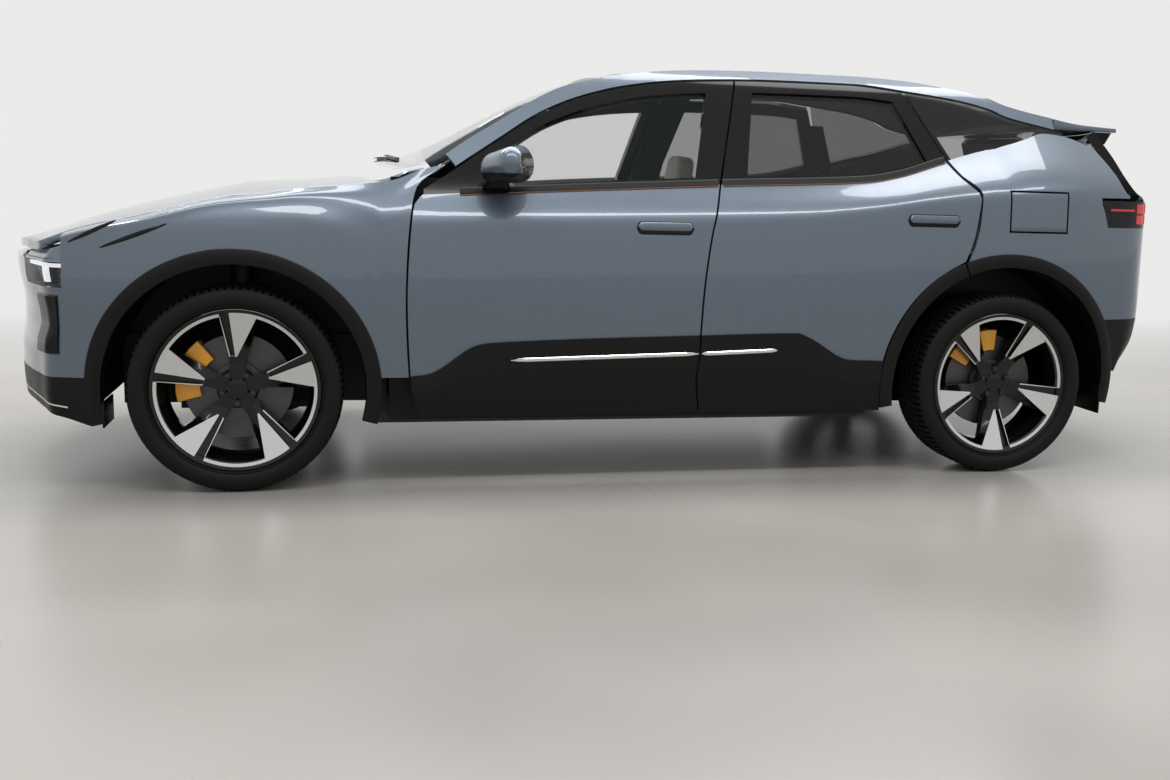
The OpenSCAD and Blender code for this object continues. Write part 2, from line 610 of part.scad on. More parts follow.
module side_frame() {
  sill_front = at(post_front_share);
  beam_radius = rear_trim_radius - trim_width + liner_wall + 2 * seat_gap;
  sill_rear = rear_axle_x - beam_radius - window_frame - seat_gap;
  difference() {
    union() {
      middle_pillar();
      translate([sill_front, -sill_outer, sill_bottom])
        cube([sill_rear - sill_front, sill_outer - sill_inner, sill_top - sill_bottom]);
      translate([sill_front, -post_skin, sill_top + seat_gap])
        cube([at(post_rear_share) - sill_front, post_skin - post_inner,
          height * post_top_share - sill_top - seat_gap]);
      translate([sill_front + window_frame, -post_skin, height * arm_low_share])
        cube([at(post_arm_share) - sill_front - window_frame, post_skin - post_inner,
          height * (arm_high_share - arm_low_share)]);
      for (which = [0, 1], q = hinge_z_shares)
        translate([hinge_x(which) - lug_width / 2, -post_outer, height * q])
          cube([lug_width, post_outer - post_inner, hinge_height]);
      translate([rear_axle_x, -liner_inner_rear, hub_z]) rotate([90, 0, 0]) rotate(beam_first)
        rotate_extrude(angle = beam_span) translate([beam_radius, 0])
        square([window_frame, sill_outer - liner_inner_rear]);
      for (which = [0, 1], q = hinge_z_shares)
        translate([hinge_x(which), -hinge_y(which), height * q + hinge_height / 2]) {
          cylinder(r = eye_radius, h = eye_height, center = true);
          translate([-eye_radius, 0, -eye_height / 2])
            cube([2 * eye_radius, hinge_y(which) - post_outer + overrun, eye_height]);
        }
    }
    for (which = [0, 1], q = hinge_z_shares)
      translate([hinge_x(which), -hinge_y(which), height * q])
        cylinder(r = hinge_radius + running_gap, h = hinge_height);
  }
}
module body_frame() {
  color("#5d6b78") both_sides() side_frame();
}
front_header_shares = [0.4475, 0.473];
rear_header_shares = [1.247, tail_seam_share];
module roof_frame() {
  color("#5d6b78") {
    both_sides() roof_rail();
    difference() {
      union() {
        top_panel(front_header_shares, edge_inset, header_depth);
        top_panel(rear_header_shares, edge_inset, header_depth);
      }
      for (s = [-1, 1]) translate([tail_hinge_x - lug_width,
        s * tail_hinge_y - lug_width / 2 - shut_gap, 0])
        cube([length, lug_width + 2 * shut_gap, height]);
    }
    for (s = [-1, 1]) translate([tail_hinge_x, s * tail_hinge_y, tail_hinge_z]) rotate([90, 0, 0])
      cylinder(r = hinge_radius, h = lug_width + 4 * shut_gap, center = true);
  }
}
windscreen_bow = 106;
screen_shares = [0.2, 0.235, 0.271, 0.319, 0.36, 0.4, 0.44];
roof_shares = [0.48, 0.54, 0.6, 0.68, 0.75, 0.812, 0.887, 0.955, 1.02, 1.08, 1.15, 1.24];
module windscreen() {
  color("#9fb0b6", 0.4)
    top_panel(screen_shares, edge_inset, glass_depth, windscreen_bow, 0);
}
module roof_glass() {
  color("#101215") top_panel(roof_shares, edge_inset, glass_depth);
}

// Doors: rows follow the sill, the cladding, the belt and the window frame
cladding_shares = [[0.195, 0.255], [0.222, 0.26], [0.285, 0.328], [0.302, 0.333], [0.573, 0.351],
  [0.7, 0.3565],
  [0.717, 0.345], [0.775, 0.291], [0.82, 0.288], [0.9, 0.27]];
cladding_mid_share = 0.6;
door_row_shares = [0.28, 0.55, 0.8, 1];
window_row_shares = [0.07, 0.5];
door_draft = 12;
frame_top_share = 0.6;
door_corner_share = 0.22;
belt_depth_share = 0.7;
handle_level_share = 0.6;
rear_handle_share = 0.028;
function cladding_z(x) = height * curve(cladding_shares, station(x));
function door_z(x, r) =
  let(frame_z = window_top_z(x) - belt_z(x))
  r == 0 ? door_bottom
  : r == 1 ? mix(door_bottom, cladding_z(x), cladding_mid_share)
  : r == 2 ? cladding_z(x)
  : r < 7 ? mix(cladding_z(x), belt_z(x), door_row_shares[r - 3])
  : r < 9 ? belt_z(x) + frame_z * window_row_shares[r - 7]
  : r == 9 ? belt_z(x) + max(frame_z * frame_top_share, frame_z - window_frame)
  : window_top_z(x);
// Edges of the doors at a height: which is 0 for the front door and 1 for the rear door
function door_front_x(which, z) =
  which == 1 ? middle_seam_x(z) + shut_gap / 2
  : z > belt_z(at(door_corner_share)) ? at(door_corner_share) : front_seam_x(z);
function door_rear_x(which, z) = (which == 1 ? rear_end_x(z) : middle_seam_x(z)) - shut_gap / 2;
function door_x(which, u, r, tries, x) =
  tries == 0 ? x
  : let(z = door_z(x, r))
  door_x(which, u, r, tries - 1, mix(door_front_x(which, z), door_rear_x(which, z), u));
function door_point(which, u, r) =
  let(x = door_x(which, u, r, 6, mix(door_front_x(which, hub_z), door_rear_x(which, hub_z), u)))
  skin(x, door_z(x, r));
door_column_shares = [
  [0, 0.1, 0.22, 0.34, 0.46, 0.58, 0.7, 0.81, 0.91, 1],
  [0, 0.1, 0.2, 0.32, 0.44, 0.56, 0.68, 0.8, 0.91, 1]
];
window_columns = [[2, 8], [1, 8]];
window_rows = [7, 9];
function door_outer(which) =
  [for (r = [0 : 10]) [for (u = door_column_shares[which]) door_point(which, u, r)]];
function drafted(p, u, depth, part = 1) = [p[0] + door_draft * (1 - 2 * u) * part, p[1] + depth, p[2]];
handle_shares = [0.66, 0.85];
handle_row_shares = [0.586, 0.615];
handle_proud = 20;
handle_root = 30;
hinge_z_shares = [0.385, 0.475];
eye_radius = 9;
eye_gap = 0.6;
// Upright hinge axes sit just inside the widest part of the skin
hinge_shares = [0.2236, 0.6005];
function hinge_x(which) = at(hinge_shares[which]);
function hinge_y(which) = side(hinge_x(which), height * hinge_z_shares[0]) - hinge_inset;
notch_reach = 26;
module door(which, s) {
  outer = door_outer(which);
  inner = [for (r = [0 : 10]) [for (c = [0 : 9])
    drafted(outer[r][c], door_column_shares[which][c],
      r < 6 ? door_depth : r == 6 ? door_depth * belt_depth_share : frame_depth)]];
  hx = hinge_x(which);
  hy = hinge_y(which);
  level = height * handle_level_share;
  handle_x = [for (q = handle_shares) mix(door_front_x(which, level), door_rear_x(which, level), q)];
  color("#5d6b78") on_side(s) {
    difference() {
      shell(outer, inner, [[window_rows[0], window_rows[1], window_columns[which][0],
        window_columns[which][1]]]);
      for (q = hinge_z_shares) translate([hx - notch_reach * 4, -hy - eye_radius - eye_gap, height * q])
        cube([notch_reach * 5, door_depth * 2, hinge_height]);
    }
    for (q = hinge_z_shares) translate([hx, -hy, height * q - overrun])
      cylinder(r = hinge_radius, h = hinge_height + 2 * overrun);
    handle(handle_x[0], handle_x[1]);
  }
}
module handle(a, b) {
  z = [for (q = handle_row_shares) height * (q + (a > at(pillar_share) ? rear_handle_share : 0))];
  shell(
    [for (k = z) [for (x = [a, (a + b) / 2, b]) skin(x, k, handle_proud)]],
    [for (k = z) [for (x = [a, (a + b) / 2, b]) skin(x, k, -handle_root)]]
  );
}
glass_sink = 10;
glass_inset = 1;
module door_glass(which, s) {
  rows = [for (r = [window_rows[0] : window_rows[1]]) r];
  cols = [for (c = [window_columns[which][0] : window_columns[which][1]]) c];
  function pane(r, c, out) =
    let(
      p = door_point(which, door_column_shares[which][c], r),
      dx = c == cols[0] ? glass_inset : c == cols[len(cols) - 1] ? -glass_inset : 0,
      dz = r == rows[0] ? glass_inset : r == rows[len(rows) - 1] ? -glass_inset : 0
    )
    drafted(p, door_column_shares[which][c], out, out / frame_depth) + [dx, 0, dz];
  color("#6f7a7a", 0.5) on_side(s) shell(
    [for (r = rows) [for (c = cols) pane(r, c, glass_sink)]],
    [for (r = rows) [for (c = cols) pane(r, c, glass_sink + glass_depth)]]
  );
}
module door_cladding(which, s) {
  outer = door_outer(which);
  rows = [0, 1, 2];
  color("#1d1f22") on_side(s) {
    shell([for (r = rows) [for (p = outer[r]) sunk(p, r == 1 ? -2 * trim_proud : -trim_proud, 0)]],
      [for (r = rows) outer[r]]);
    if (which == 1) rear_door_trim(outer);
  }
}
// The part of the rear arch trim that the rear door carries
module rear_door_trim(outer) {
  edge = [for (r = [0 : 5]) outer[r][9]];
  middle = [rear_axle_x, hub_z];
  function inward(p) =
    let(d = [p[0], p[2]] - middle, q = middle + d * (1 - trim_width / norm(d))) [q[0], q[1]];
  kept = [for (p = edge) if (norm([p[0], p[2]] - middle) < rear_trim_radius + 2 * shut_gap) p];
  shell(
    [for (p = kept) [sunk(p, -trim_proud, 0), skin_at(inward(p), trim_proud)]],
    [for (p = kept) [sunk(p, trim_depth, 0), skin_at(inward(p), -trim_depth)]]
  );
}

// Door mirrors on the front doors
mirror_share = 0.318;
mirror_length = 150;
mirror_reach = 210;
mirror_height = 150;
mirror_foot = 70;
cap_length_shares = [0, 0.3, -0.35];
cap_height_shares = [0.62, 0.6, 0.5];
cap_radius_shares = [0.3, 0.38, 0.3];
stem_length_share = 0.2;
stem_height_share = 0.3;
stem_radius_share = 0.16;
seat_length_shares = [-0.5, 0.1];
seat_height_share = 0.3;
module mirror_seat(x, z) {
  translate(skin(x, z, glass_sink + 3 * seat_gap)) sphere(r = glass_sink, $fn = 16);
}
module door_mirror(s) {
  x = at(mirror_share);
  z = belt_z(x);
  y = side(x, z);
  color("#5d6b78") on_side(s) {
    hull() for (k = [0 : 2])
      translate([x + mirror_length * cap_length_shares[k], -y - (k == 0 ? mirror_reach : mirror_foot),
        z + mirror_height * cap_height_shares[k]])
        sphere(r = mirror_height * cap_radius_shares[k], $fn = 24);
    hull() {
      translate([x - mirror_length * stem_length_share, -y - mirror_foot,
        z + mirror_height * stem_height_share])
        sphere(r = mirror_height * stem_radius_share, $fn = 16);
      for (d = seat_length_shares) mirror_seat(x + d * mirror_length,
        z + window_frame * seat_height_share);
    }
  }
}

// Quarter panels: over the rear arch, up to the side glass and back to the lamp
lamp_bottom_share = 0.626;
lamp_top_share = 0.694;
shelf_share = 0.7012;
quarter_span = [110, 40];
quarter_lean_share = 0.6;
quarter_angles = arch_angles(quarter_span);
quarter_depth = 84;
quarter_tip_shares = [1.51, 1.58];
lamp_front_shares = [1.463, 1.423];
function lamp_seam_x(z) =
  let(p = arch_point(rear_axle_x, rear_trim_radius, quarter_span[1]))
  mix(p[0], at(lamp_front_shares[0]), (z - p[1]) / (height * lamp_bottom_share - p[1]));
function quarter_z(zb, x, r) =
  r == 0 ? zb
  : r == 1 ? (zb + height * lamp_bottom_share) / 2
  : r == 2 ? height * lamp_bottom_share
  : r == 3 ? height * shelf_share
  : mix(height * shelf_share, quarter_top_z(x), (r - 3) / 2);
function quarter_point(c, r) =
  let(
    last = len(quarter_angles) - 1,
    p = arch_point(rear_axle_x, rear_trim_radius, quarter_angles[min(c, last)]),
    z0 = quarter_z(p[1], p[0], r),
    seam = rear_seam_x(quarter_z(p[1], rear_seam_x(z0), r)) + shut_gap + seam_slack,
    x = c == 0 ? (r == 0 ? p[0] : seam)
      : c < last ? mix(p[0], mix(seam, at(lamp_front_shares[1]), c / last),
        min(1, r / 2) * quarter_lean_share)
      : c == last ? (r < 3 ? lamp_seam_x(z0) : at(lamp_front_shares[1]))
      : at(quarter_tip_shares[c - last - 1])
  )
  skin(x, quarter_z(p[1], x, r));
flap_low_share = 0.613;
flap_high_share = 0.708;
flap_front_share = 0.997;
flap_rear_share = 1.25;
flap_depth = 6;
flap_pocket = 52;
function flap_z(v) = height * mix(flap_low_share, flap_high_share, v);
module quarter_panel(with_flap) {
  cols = len(quarter_angles) + 1;
  outer = [for (r = [0 : 5]) [for (c = [0 : cols]) quarter_point(c, r)]];
  inner = [for (r = [0 : 5]) [for (c = [0 : cols])
    sunk(outer[r][c], c > cols - 3 || r > 3 ? frame_depth : quarter_depth, 0)]];
  difference() {
    shell(outer, inner, [[0, 3, cols - 2, cols]]);
    if (with_flap) {
      x0 = at(flap_front_share) - shut_gap;
      y0 = side(at(flap_rear_share), flap_z(0)) - flap_pocket;
      translate([x0, -half_width, flap_z(0) - shut_gap])
        cube([at(flap_rear_share) - x0 + shut_gap, half_width - y0,
          flap_z(1) - flap_z(0) + 2 * shut_gap]);
    }
  }
}
// The inlet boss and the hinge post of the flap stand in the pocket
inlet_radius = 30;
inlet_bore = 22;
inlet_length = 22;
flap_pin = 3;
flap_eye_radius = 5.5;
flap_eye = 20;
flap_eye_gap = 2.5;
flap_setback = 42;
flap_hinge_x = at(flap_front_share) + flap_setback;
flap_hinge_shares = [0.2, 0.8];
flap_hinge_y = min([for (v = flap_hinge_shares) side(flap_hinge_x, flap_z(v))]) - flap_depth - flap_eye_gap
  - flap_eye_radius;
inlet_shares = [0.55, 0.45];
inlet_x = mix(at(flap_front_share), at(flap_rear_share), inlet_shares[0]);
module quarter_panels() {
  floor_y = side(at(flap_rear_share), flap_z(0)) - flap_pocket;
  color("#5d6b78") {
    difference() {
      union() {
        quarter_panel(true);
        translate([inlet_x, -floor_y + overrun, flap_z(inlet_shares[1])])
          rotate([90, 0, 0]) cylinder(r = inlet_radius, h = inlet_length);
        for (v = flap_hinge_shares) translate([flap_hinge_x, -flap_hinge_y, flap_z(v) - flap_eye / 2]) {
          translate([-flap_eye_radius, 0, 0])
            cube([2 * flap_eye_radius, flap_hinge_y - floor_y + overrun, flap_eye]);
          cylinder(r = flap_eye_radius, h = flap_eye);
        }
      }
      translate([inlet_x, -floor_y, flap_z(inlet_shares[1])])
        rotate([90, 0, 0]) cylinder(r = inlet_bore, h = inlet_length);
      for (v = flap_hinge_shares) translate([flap_hinge_x, -flap_hinge_y, flap_z(v) - flap_eye])
        cylinder(r = flap_pin + running_gap, h = 2 * flap_eye);
    }
    mirror([0, 1, 0]) quarter_panel(false);
  }
}
module charge_flap() {
  u = steps(4);
  color("#5d6b78") {
    shell(
      [for (v = u) [for (t = u) skin(mix(at(flap_front_share), at(flap_rear_share), t), flap_z(v))]],
      [for (v = u) [for (t = u) skin(mix(at(flap_front_share), at(flap_rear_share), t),
      flap_z(v), -flap_depth)]]
    );
    for (v = flap_hinge_shares) translate([flap_hinge_x, -flap_hinge_y, flap_z(v)]) {
      for (m = [-1, 1]) translate([-flap_pin, -flap_eye_radius - flap_eye_gap - flap_depth / 2,
        m * (flap_eye / 2 + shut_gap) - flap_pin])
        cube([2 * flap_pin, flap_eye_radius + flap_eye_gap + flap_depth / 2 + flap_pin, 2 * flap_pin]);
      cylinder(r = flap_pin, h = flap_eye + 2 * shut_gap, center = true);
    }
  }
}

// Fixed side glass from the rear doors to the rear pillars
side_glass_gap = 6;
side_glass_columns = 5;
function side_glass_point(c, v, out) =
  let(
    p = quarter_point(c, 5),
    x = p[0] + (c == 0 ? (rear_seam_x(rail_low(p[0])) - rear_seam_x(p[2])) * v : 0),
    z = mix(p[2] + seat_gap, rail_low(x) - side_glass_gap, v)
  )
  skin(x, z, out);
module quarter_windows() {
  cols = [0 : side_glass_columns];
  color("#17191b") both_sides() shell(
    [for (v = steps(2)) [for (c = cols) side_glass_point(c, v, 0)]],
    [for (v = steps(2)) [for (c = cols) side_glass_point(c, v, -glass_depth)]]
  );
}

// Front bumper: from the arches round the corners to the nose, with openings for the lamps
bumper_angles = [175, 165, 155, 145, 135];
bumper_top_shares = [0.474, 0.5];
bumper_y_shares = [0.88, 0.78, 0.64, 0.46, 0.23, 0];
function bumper_z(r) =
  r < 5 ? arch_point(front_axle_x, front_trim_radius,
    bumper_angles[r])[1] : height * bumper_top_shares[r - 5];
function bumper_side_x(u, r) =
  mix(wing_first_x, arch_point(front_axle_x, front_trim_radius, bumper_angles[min(r, 4)])[0], u);
function bumper_half(r) =
  [for (q = bumper_y_shares) [nose(q * half_width, bumper_z(r)), -q * half_width, bumper_z(r)]];
function bumper_left(r) = [for (u = steps(2)) skin(bumper_side_x(u, r), bumper_z(r))];
function reversed(k) = [for (i = [len(k) - 1 : -1 : 0]) k[i]];
function flipped(k) = [for (p = k) [p[0], -p[1], p[2]]];
function nose_row(r) = concat(
  reversed(flipped(bumper_left(r))),
  flipped(bumper_half(r)),
  reversed([for (k = [0 : len(bumper_y_shares) - 2]) bumper_half(r)[k]]),
  bumper_left(r)
);
// Inner points of the wraps: straight in on the sides, slanted at the corner and lengthwise on the middle
corner_share = 0.7;
function inset_by(p, e, dx, depth) =
  e < 3 ? [p[0], p[1] - sign(p[1]) * depth, p[2]]
  : e == 3 ? [p[0] + dx * corner_share, p[1] - sign(p[1]) * depth * corner_share, p[2]]
  : [p[0] + dx, p[1], p[2]];
function inset_row(row, dx, depth) =
  [for (c = [0 : len(row) - 1]) inset_by(row[c], min(c, len(row) - 1 - c), dx, depth)];
lamp_cols = [2, 5];
module front_bumper() {
  rows = [0, 1, 2, 3, 4, 5, 6];
  outer = [for (r = rows) nose_row(r)];
  last = len(outer[0]) - 1;
  color("#5d6b78") shell(outer, [for (row = outer) inset_row(row, panel_depth, panel_depth)], [
    [4, 6, 0, lamp_cols[1]],
    [4, 6, last - lamp_cols[1], last]
  ]);
}
module headlamps() {
  rows = [4, 5, 6];
  function lamp_row(r) =
    let(row = nose_row(r), last = len(row) - 1)
    [for (c = [last - lamp_cols[1] : last - lamp_cols[0]]) row[c] + [
      c == last - lamp_cols[0] ? -seat_gap : 0,
      c == last - lamp_cols[1] ? -seat_gap : 0,
      r == 4 ? seat_gap : 0
    ]];
  depth = panel_depth * 2;
  color("#c9ced2") both_sides() shell([for (r = rows) lamp_row(r)],
    [for (r = rows) [for (k = [0 : 3]) inset_by(lamp_row(r)[k], lamp_cols[1] - k, depth, depth)]]);
}
lower_angles = [195, 185, 175];
lower_rise = 62;
function lower_row(k) =
  let(
    row = nose_row(0),
    last = len(row) - 1,
    z0 = arch_point(front_axle_x, front_trim_radius, lower_angles[k])[1],
    arch = arch_point(front_axle_x, front_trim_radius, lower_angles[k])[0]
  )
  [for (c = [0 : last])
    let(
      edge = min(c, last - c),
      z = k == 2 ? row[c][2] - seat_gap : mix(z0, z0 + lower_rise * (2 - k) / 2, min(1, edge / 5)),
      sgn = c < last / 2 ? 1 : -1
    )
    edge < 3
      ? let(x = mix(arch, wing_first_x, edge / 2)) [x, sgn * side(x, z), z]
      : [nose(row[c][1], z), row[c][1], z]];
module front_lower_bumper() {
  rows = [for (k = [0, 1, 2]) lower_row(k)];
  color("#1d1f22") shell(rows, [for (row = rows) inset_row(row, panel_depth * 2, panel_depth * 2)]);
}

// Rear bumper, lower rear bumper and tail lamps wrap the tail
tail_y_shares = [0.862, 0.79, 0.718, 0.52, 0.26, 0];
tail_side_shares = [0, 0.5, 1];
tail_corner_share = 1.61;
tail_rows = [30, 40];
tail_top_shares = [0.474, 0.55, 0.626];
function tail_z(r) =
  r < 2 ? arch_point(rear_axle_x, rear_trim_radius, tail_rows[r])[1] : height * tail_top_shares[r - 2];
function tail_left_x(z) =
  let(p = arch_point(rear_axle_x, rear_trim_radius, tail_rows[0]),
    q = arch_point(rear_axle_x, rear_trim_radius, tail_rows[1]))
  z < q[1] ? mix(p[0], q[0], (z - p[1]) / (q[1] - p[1])) + seat_gap : lamp_seam_x(z) + seat_gap;
function tail_corner_x(z) = min(at(tail_corner_share), tail(tail_y_shares[0] * half_width, z) - panel_depth);
function tail_half(z, first) = concat(
  [for (u = tail_side_shares) skin(mix(first, max(tail_corner_x(z), first + panel_depth / 2), u), z)],
  [for (q = tail_y_shares) [tail(q * half_width, z), -q * half_width, z]]
);
function tail_row(z, first) =
  let(k = tail_half(z, first)) concat(k, reversed([for (i = [0 : len(k) - 2]) flipped(k)[i]]));
module rear_bumper() {
  outer = [for (r = [0 : 4]) tail_row(tail_z(r), tail_left_x(tail_z(r)))];
  color("#5d6b78") shell(outer, [for (row = outer) inset_row(row, -panel_depth * 2, panel_depth * 2)],
    [[2, 4, 5, 11]]);
}
tail_lower_angles = [5, 10, 20, 30];
// Points on the straight pieces of the arch trim
function trim_edge(x, r, a) =
  let(k = floor(a / arch_step) * arch_step)
  mix(arch_point(x, r, k), arch_point(x, r, k + arch_step), (a - k) / arch_step);
module rear_lower_bumper() {
  rows = [for (a = tail_lower_angles)
    let(p = trim_edge(rear_axle_x, rear_trim_radius, a))
    tail_row(p[1] - seat_gap, p[0] + seat_gap)];
  color("#1d1f22") shell(rows, [for (row = rows) inset_row(row, -panel_depth * 2, panel_depth * 2)]);
}
lamp_rows = 2;
module tail_lamps() {
  function lamp_z(v) = mix(height * lamp_bottom_share + seat_gap, height * lamp_top_share, v);
  function row(v) =
    let(
      share = (lamp_z(v) / height - lamp_bottom_share) / (shelf_share - lamp_bottom_share),
      first = mix(at(lamp_front_shares[0]), at(lamp_front_shares[1]), share) + 2 * seat_gap
    )
    [for (k = [0 : 5]) tail_half(lamp_z(v), first)[k]];
  color("#2a1012") both_sides() shell(
    [for (v = steps(lamp_rows)) row(v)],
    [for (v = steps(lamp_rows)) [for (k = [0 : 5]) inset_by(row(v)[k], k, -panel_depth * 2,
      panel_depth * 2)]]
  );
}

// Tailgate with its window, the pane and the roof spoiler that carries the hinge arms
gate_half_shares = [[0.482, 0.704], [0.57, 0.704], [0.64, 0.704], [0.7, 0.704], [0.709, 0.785],
  [0.75, 0.765],
  [0.81, 0.72], [0.858, 0.672], [0.875, 0.655]];
gate_column_shares = [-1, -0.86, -0.6, -0.3, 0, 0.3, 0.6, 0.86, 1];
gate_window = [5, 7, 1, 7];
gate_depth = 64;
function gate_point(r, c) =
  let(
    z = height * gate_half_shares[r][0],
    y = gate_column_shares[c] * (half_width * gate_half_shares[r][1] - shut_gap)
  )
  [tail(y, z), y, z];
function gate_sink(r) = r < 4 ? gate_depth : frame_depth;
module tailgate() {
  outer = [for (r = [0 : 8]) [for (c = [0 : 8]) gate_point(r, c)]];
  color("#5d6b78") shell(outer,
    [for (r = [0 : 8]) [for (c = [0 : 8]) outer[r][c] - [gate_sink(r), 0, 0]]], [gate_window]);
}
module rear_glass() {
  function pane(r, c, sink) =
    gate_point(r, c) + [
      -sink,
      c == gate_window[2] ? glass_inset : c == gate_window[3] ? -glass_inset : 0,
      r == gate_window[0] ? glass_inset : r == gate_window[1] ? -glass_inset : 0
    ];
  rows = [gate_window[0] : gate_window[1]];
  cols = [gate_window[2] : gate_window[3]];
  color("#17191b") shell([for (r = rows) [for (c = cols) pane(r, c, glass_sink)]],
    [for (r = rows) [for (c = cols) pane(r, c, glass_sink + glass_depth)]]);
}
spoiler_tip_share = 1.83;
spoiler_front_half_share = 0.668;
spoiler_tip_half_share = 0.61;
spoiler_bottom = height * gate_half_shares[8][0] + seat_gap;
function spoiler_point(t, q) =
  let(
    y = q * half_width * mix(spoiler_front_half_share, spoiler_tip_half_share, t),
    tip = at(spoiler_tip_share) - rear_overhang * tail_bow_share * pow(y / half_width, 2),
    x = mix(at(tail_seam_share) + 2 * shut_gap, tip, t)
  )
  [x, y, crown_z(x) - (crown_z(x) - edge_z(x)) * q * q];
module roof_spoiler() {
  outer = [for (r = steps(8)) [for (t = steps(5)) spoiler_point(t, 2 * r - 1)]];
  color("#5d6b78") {
    shell(outer, [for (row = outer) [for (p = row) [p[0], p[1], spoiler_bottom]]]);
    for (s = [-1, 1]) translate([tail_hinge_x, s * tail_hinge_y, tail_hinge_z]) difference() {
      union() {
        rotate([90, 0, 0]) cylinder(r = bonnet_lug / 2, h = lug_width, center = true);
        translate([0, -lug_width / 2, -bonnet_lug / 2])
          cube([tail_hinge_setback + bonnet_lug, lug_width, bonnet_lug]);
      }
      rotate([90, 0, 0]) cylinder(r = hinge_radius + running_gap, h = 2 * lug_width, center = true);
    }
  }
}

// Floor, firewall and front rails
firewall_share = 0.165;
firewall_wall = 30;
firewall_top_share = 0.6;
rail_front_share = 0.3;
beam_front_share = 0.24;
beam_half_share = 1.3;
battery_half_share = 0.98;
subframe_inset = 415;
tower_wall = 60;
rail_seat = 0.4;
rail_width = 47.6;
subframe_half = wheel_y - subframe_inset;
rail_inner = subframe_half + tower_wall / 2 + rail_seat;
rail_outer = rail_inner + rail_width;
rail_low_z = 430;
rail_high_z = 520;
boot_floor = 560;
boot_wall = 24;
boot_inset = 225;
boot_half = wheel_y - boot_inset;
boot_end_share = 1.6;
boot_share = 0.909;
boot_x = at(boot_share);
battery_top = floor_height - firewall_wall;
module underbody() {
  front = at(firewall_share);
  rail_front = nose_x + front_overhang * rail_front_share;
  beam_front = nose_x + front_overhang * beam_front_share;
  heel = rear_axle_x - rear_trim_radius;
  color("#33363a") {
    translate([front, -sill_inner, battery_top]) cube([heel - front, 2 * sill_inner,
      floor_height - battery_top]);
    translate([front, -post_inner, battery_top]) cube([firewall_wall, 2 * post_inner,
      height * firewall_top_share - battery_top]);
    for (s = [-1, 1]) translate([rail_front, s > 0 ? rail_inner : -rail_outer, rail_low_z])
      cube([front - rail_front + overrun, rail_outer - rail_inner, rail_high_z - rail_low_z]);
    translate([beam_front, -rail_outer * beam_half_share, rail_low_z])
      cube([rail_front - beam_front, 2 * rail_outer * beam_half_share, rail_high_z - rail_low_z]);
    translate([heel - overrun, -boot_half, battery_top])
      cube([boot_x - heel + overrun, 2 * boot_half, floor_height - battery_top]);
    translate([boot_x - boot_wall, -boot_half, battery_top])
      cube([boot_wall, 2 * boot_half, boot_floor - battery_top]);
    translate([boot_x - boot_wall, -boot_half, boot_floor - boot_wall])
      cube([at(boot_end_share) - boot_x, 2 * boot_half, boot_wall]);
  }
}
module battery_pack() {
  front = at(firewall_share);
  heel = rear_axle_x - rear_trim_radius;
  color("#4a4d50") translate([front, -sill_inner * battery_half_share, ground_clearance])
    cube([heel - front, 2 * sill_inner * battery_half_share, battery_top - ground_clearance]);
}
unit_length = 380;
unit_half_share = 0.65;
unit_half = subframe_half * unit_half_share;
unit_top = boot_floor - boot_wall - seat_gap;
subframe_length = 500;
subframe_bottom = 220;
subframe_top = 330;
module drive_units() {
  color("#74787c") for (x = [front_axle_x, rear_axle_x])
    translate([x - unit_length / 2, -unit_half, subframe_top])
      cube([unit_length, 2 * unit_half, unit_top - subframe_top]);
}
arm_width = 50;
arm_height = 20;
arm_drop = 32;
arm_rise = 12;
strut_radius = 42;
strut_inset = 255;
strut_y = wheel_y - strut_inset;
strut_foot = hub_z - boss_far - arm_height;
strut_top = hub_z + (front_trim_radius - trim_width) * cos(arch_step / 2) - seat_gap;
module front_axle() {
  color("#4c4f53") translate([front_axle_x, 0, 0]) {
    translate([-subframe_length / 2, -subframe_half, subframe_bottom])
      cube([subframe_length, 2 * subframe_half, subframe_top - subframe_bottom]);
    both_sides() {
      translate([-arm_width / 2, -kingpin_y - arm_width / 2, hub_z - boss_far - arm_drop])
        cube([arm_width, kingpin_y - subframe_half + arm_width, arm_height]);
      translate([0, -kingpin_y, hub_z - boss_far - arm_height])
        cylinder(r = pin_radius, h = boss_far - boss_near + arm_height - overrun);
      translate([-arm_width / 2, -kingpin_y - arm_width / 2, hub_z + boss_far + arm_rise])
        cube([arm_width, kingpin_y - subframe_half + arm_width, arm_height]);
      translate([0, -kingpin_y, hub_z + boss_near + overrun])
        cylinder(r = pin_radius, h = boss_far - boss_near + arm_height);
      translate([-arm_width, -subframe_half - tower_wall / 2, subframe_bottom])
        cube([2 * arm_width, tower_wall, hub_z + boss_far + arm_drop - subframe_bottom]);
      translate([0, -strut_y, strut_foot]) cylinder(r = strut_radius, h = strut_top - strut_foot);
    }
  }
}
module rear_axle() {
  color("#4c4f53") translate([rear_axle_x, 0, 0]) {
    translate([-subframe_length / 2, -subframe_half, subframe_bottom])
      cube([subframe_length, 2 * subframe_half, subframe_top - subframe_bottom]);
    both_sides() {
      translate([0, -wheel_y, hub_z]) rotate([90, 0, 0]) {
        translate([0, 0, -kingpin_inset - boss_radius])
          cylinder(r = knuckle_radius, h = knuckle_near + kingpin_inset + boss_radius);
        translate([0, 0, knuckle_near - overrun]) cylinder(r = spindle_radius,
          h = spindle_tip - knuckle_near);
      }
      translate([-arm_width / 2, -kingpin_y, hub_z - knuckle_radius - arm_height])
        cube([arm_width, kingpin_y - subframe_half + arm_width, arm_height * 2]);
    }
  }
}

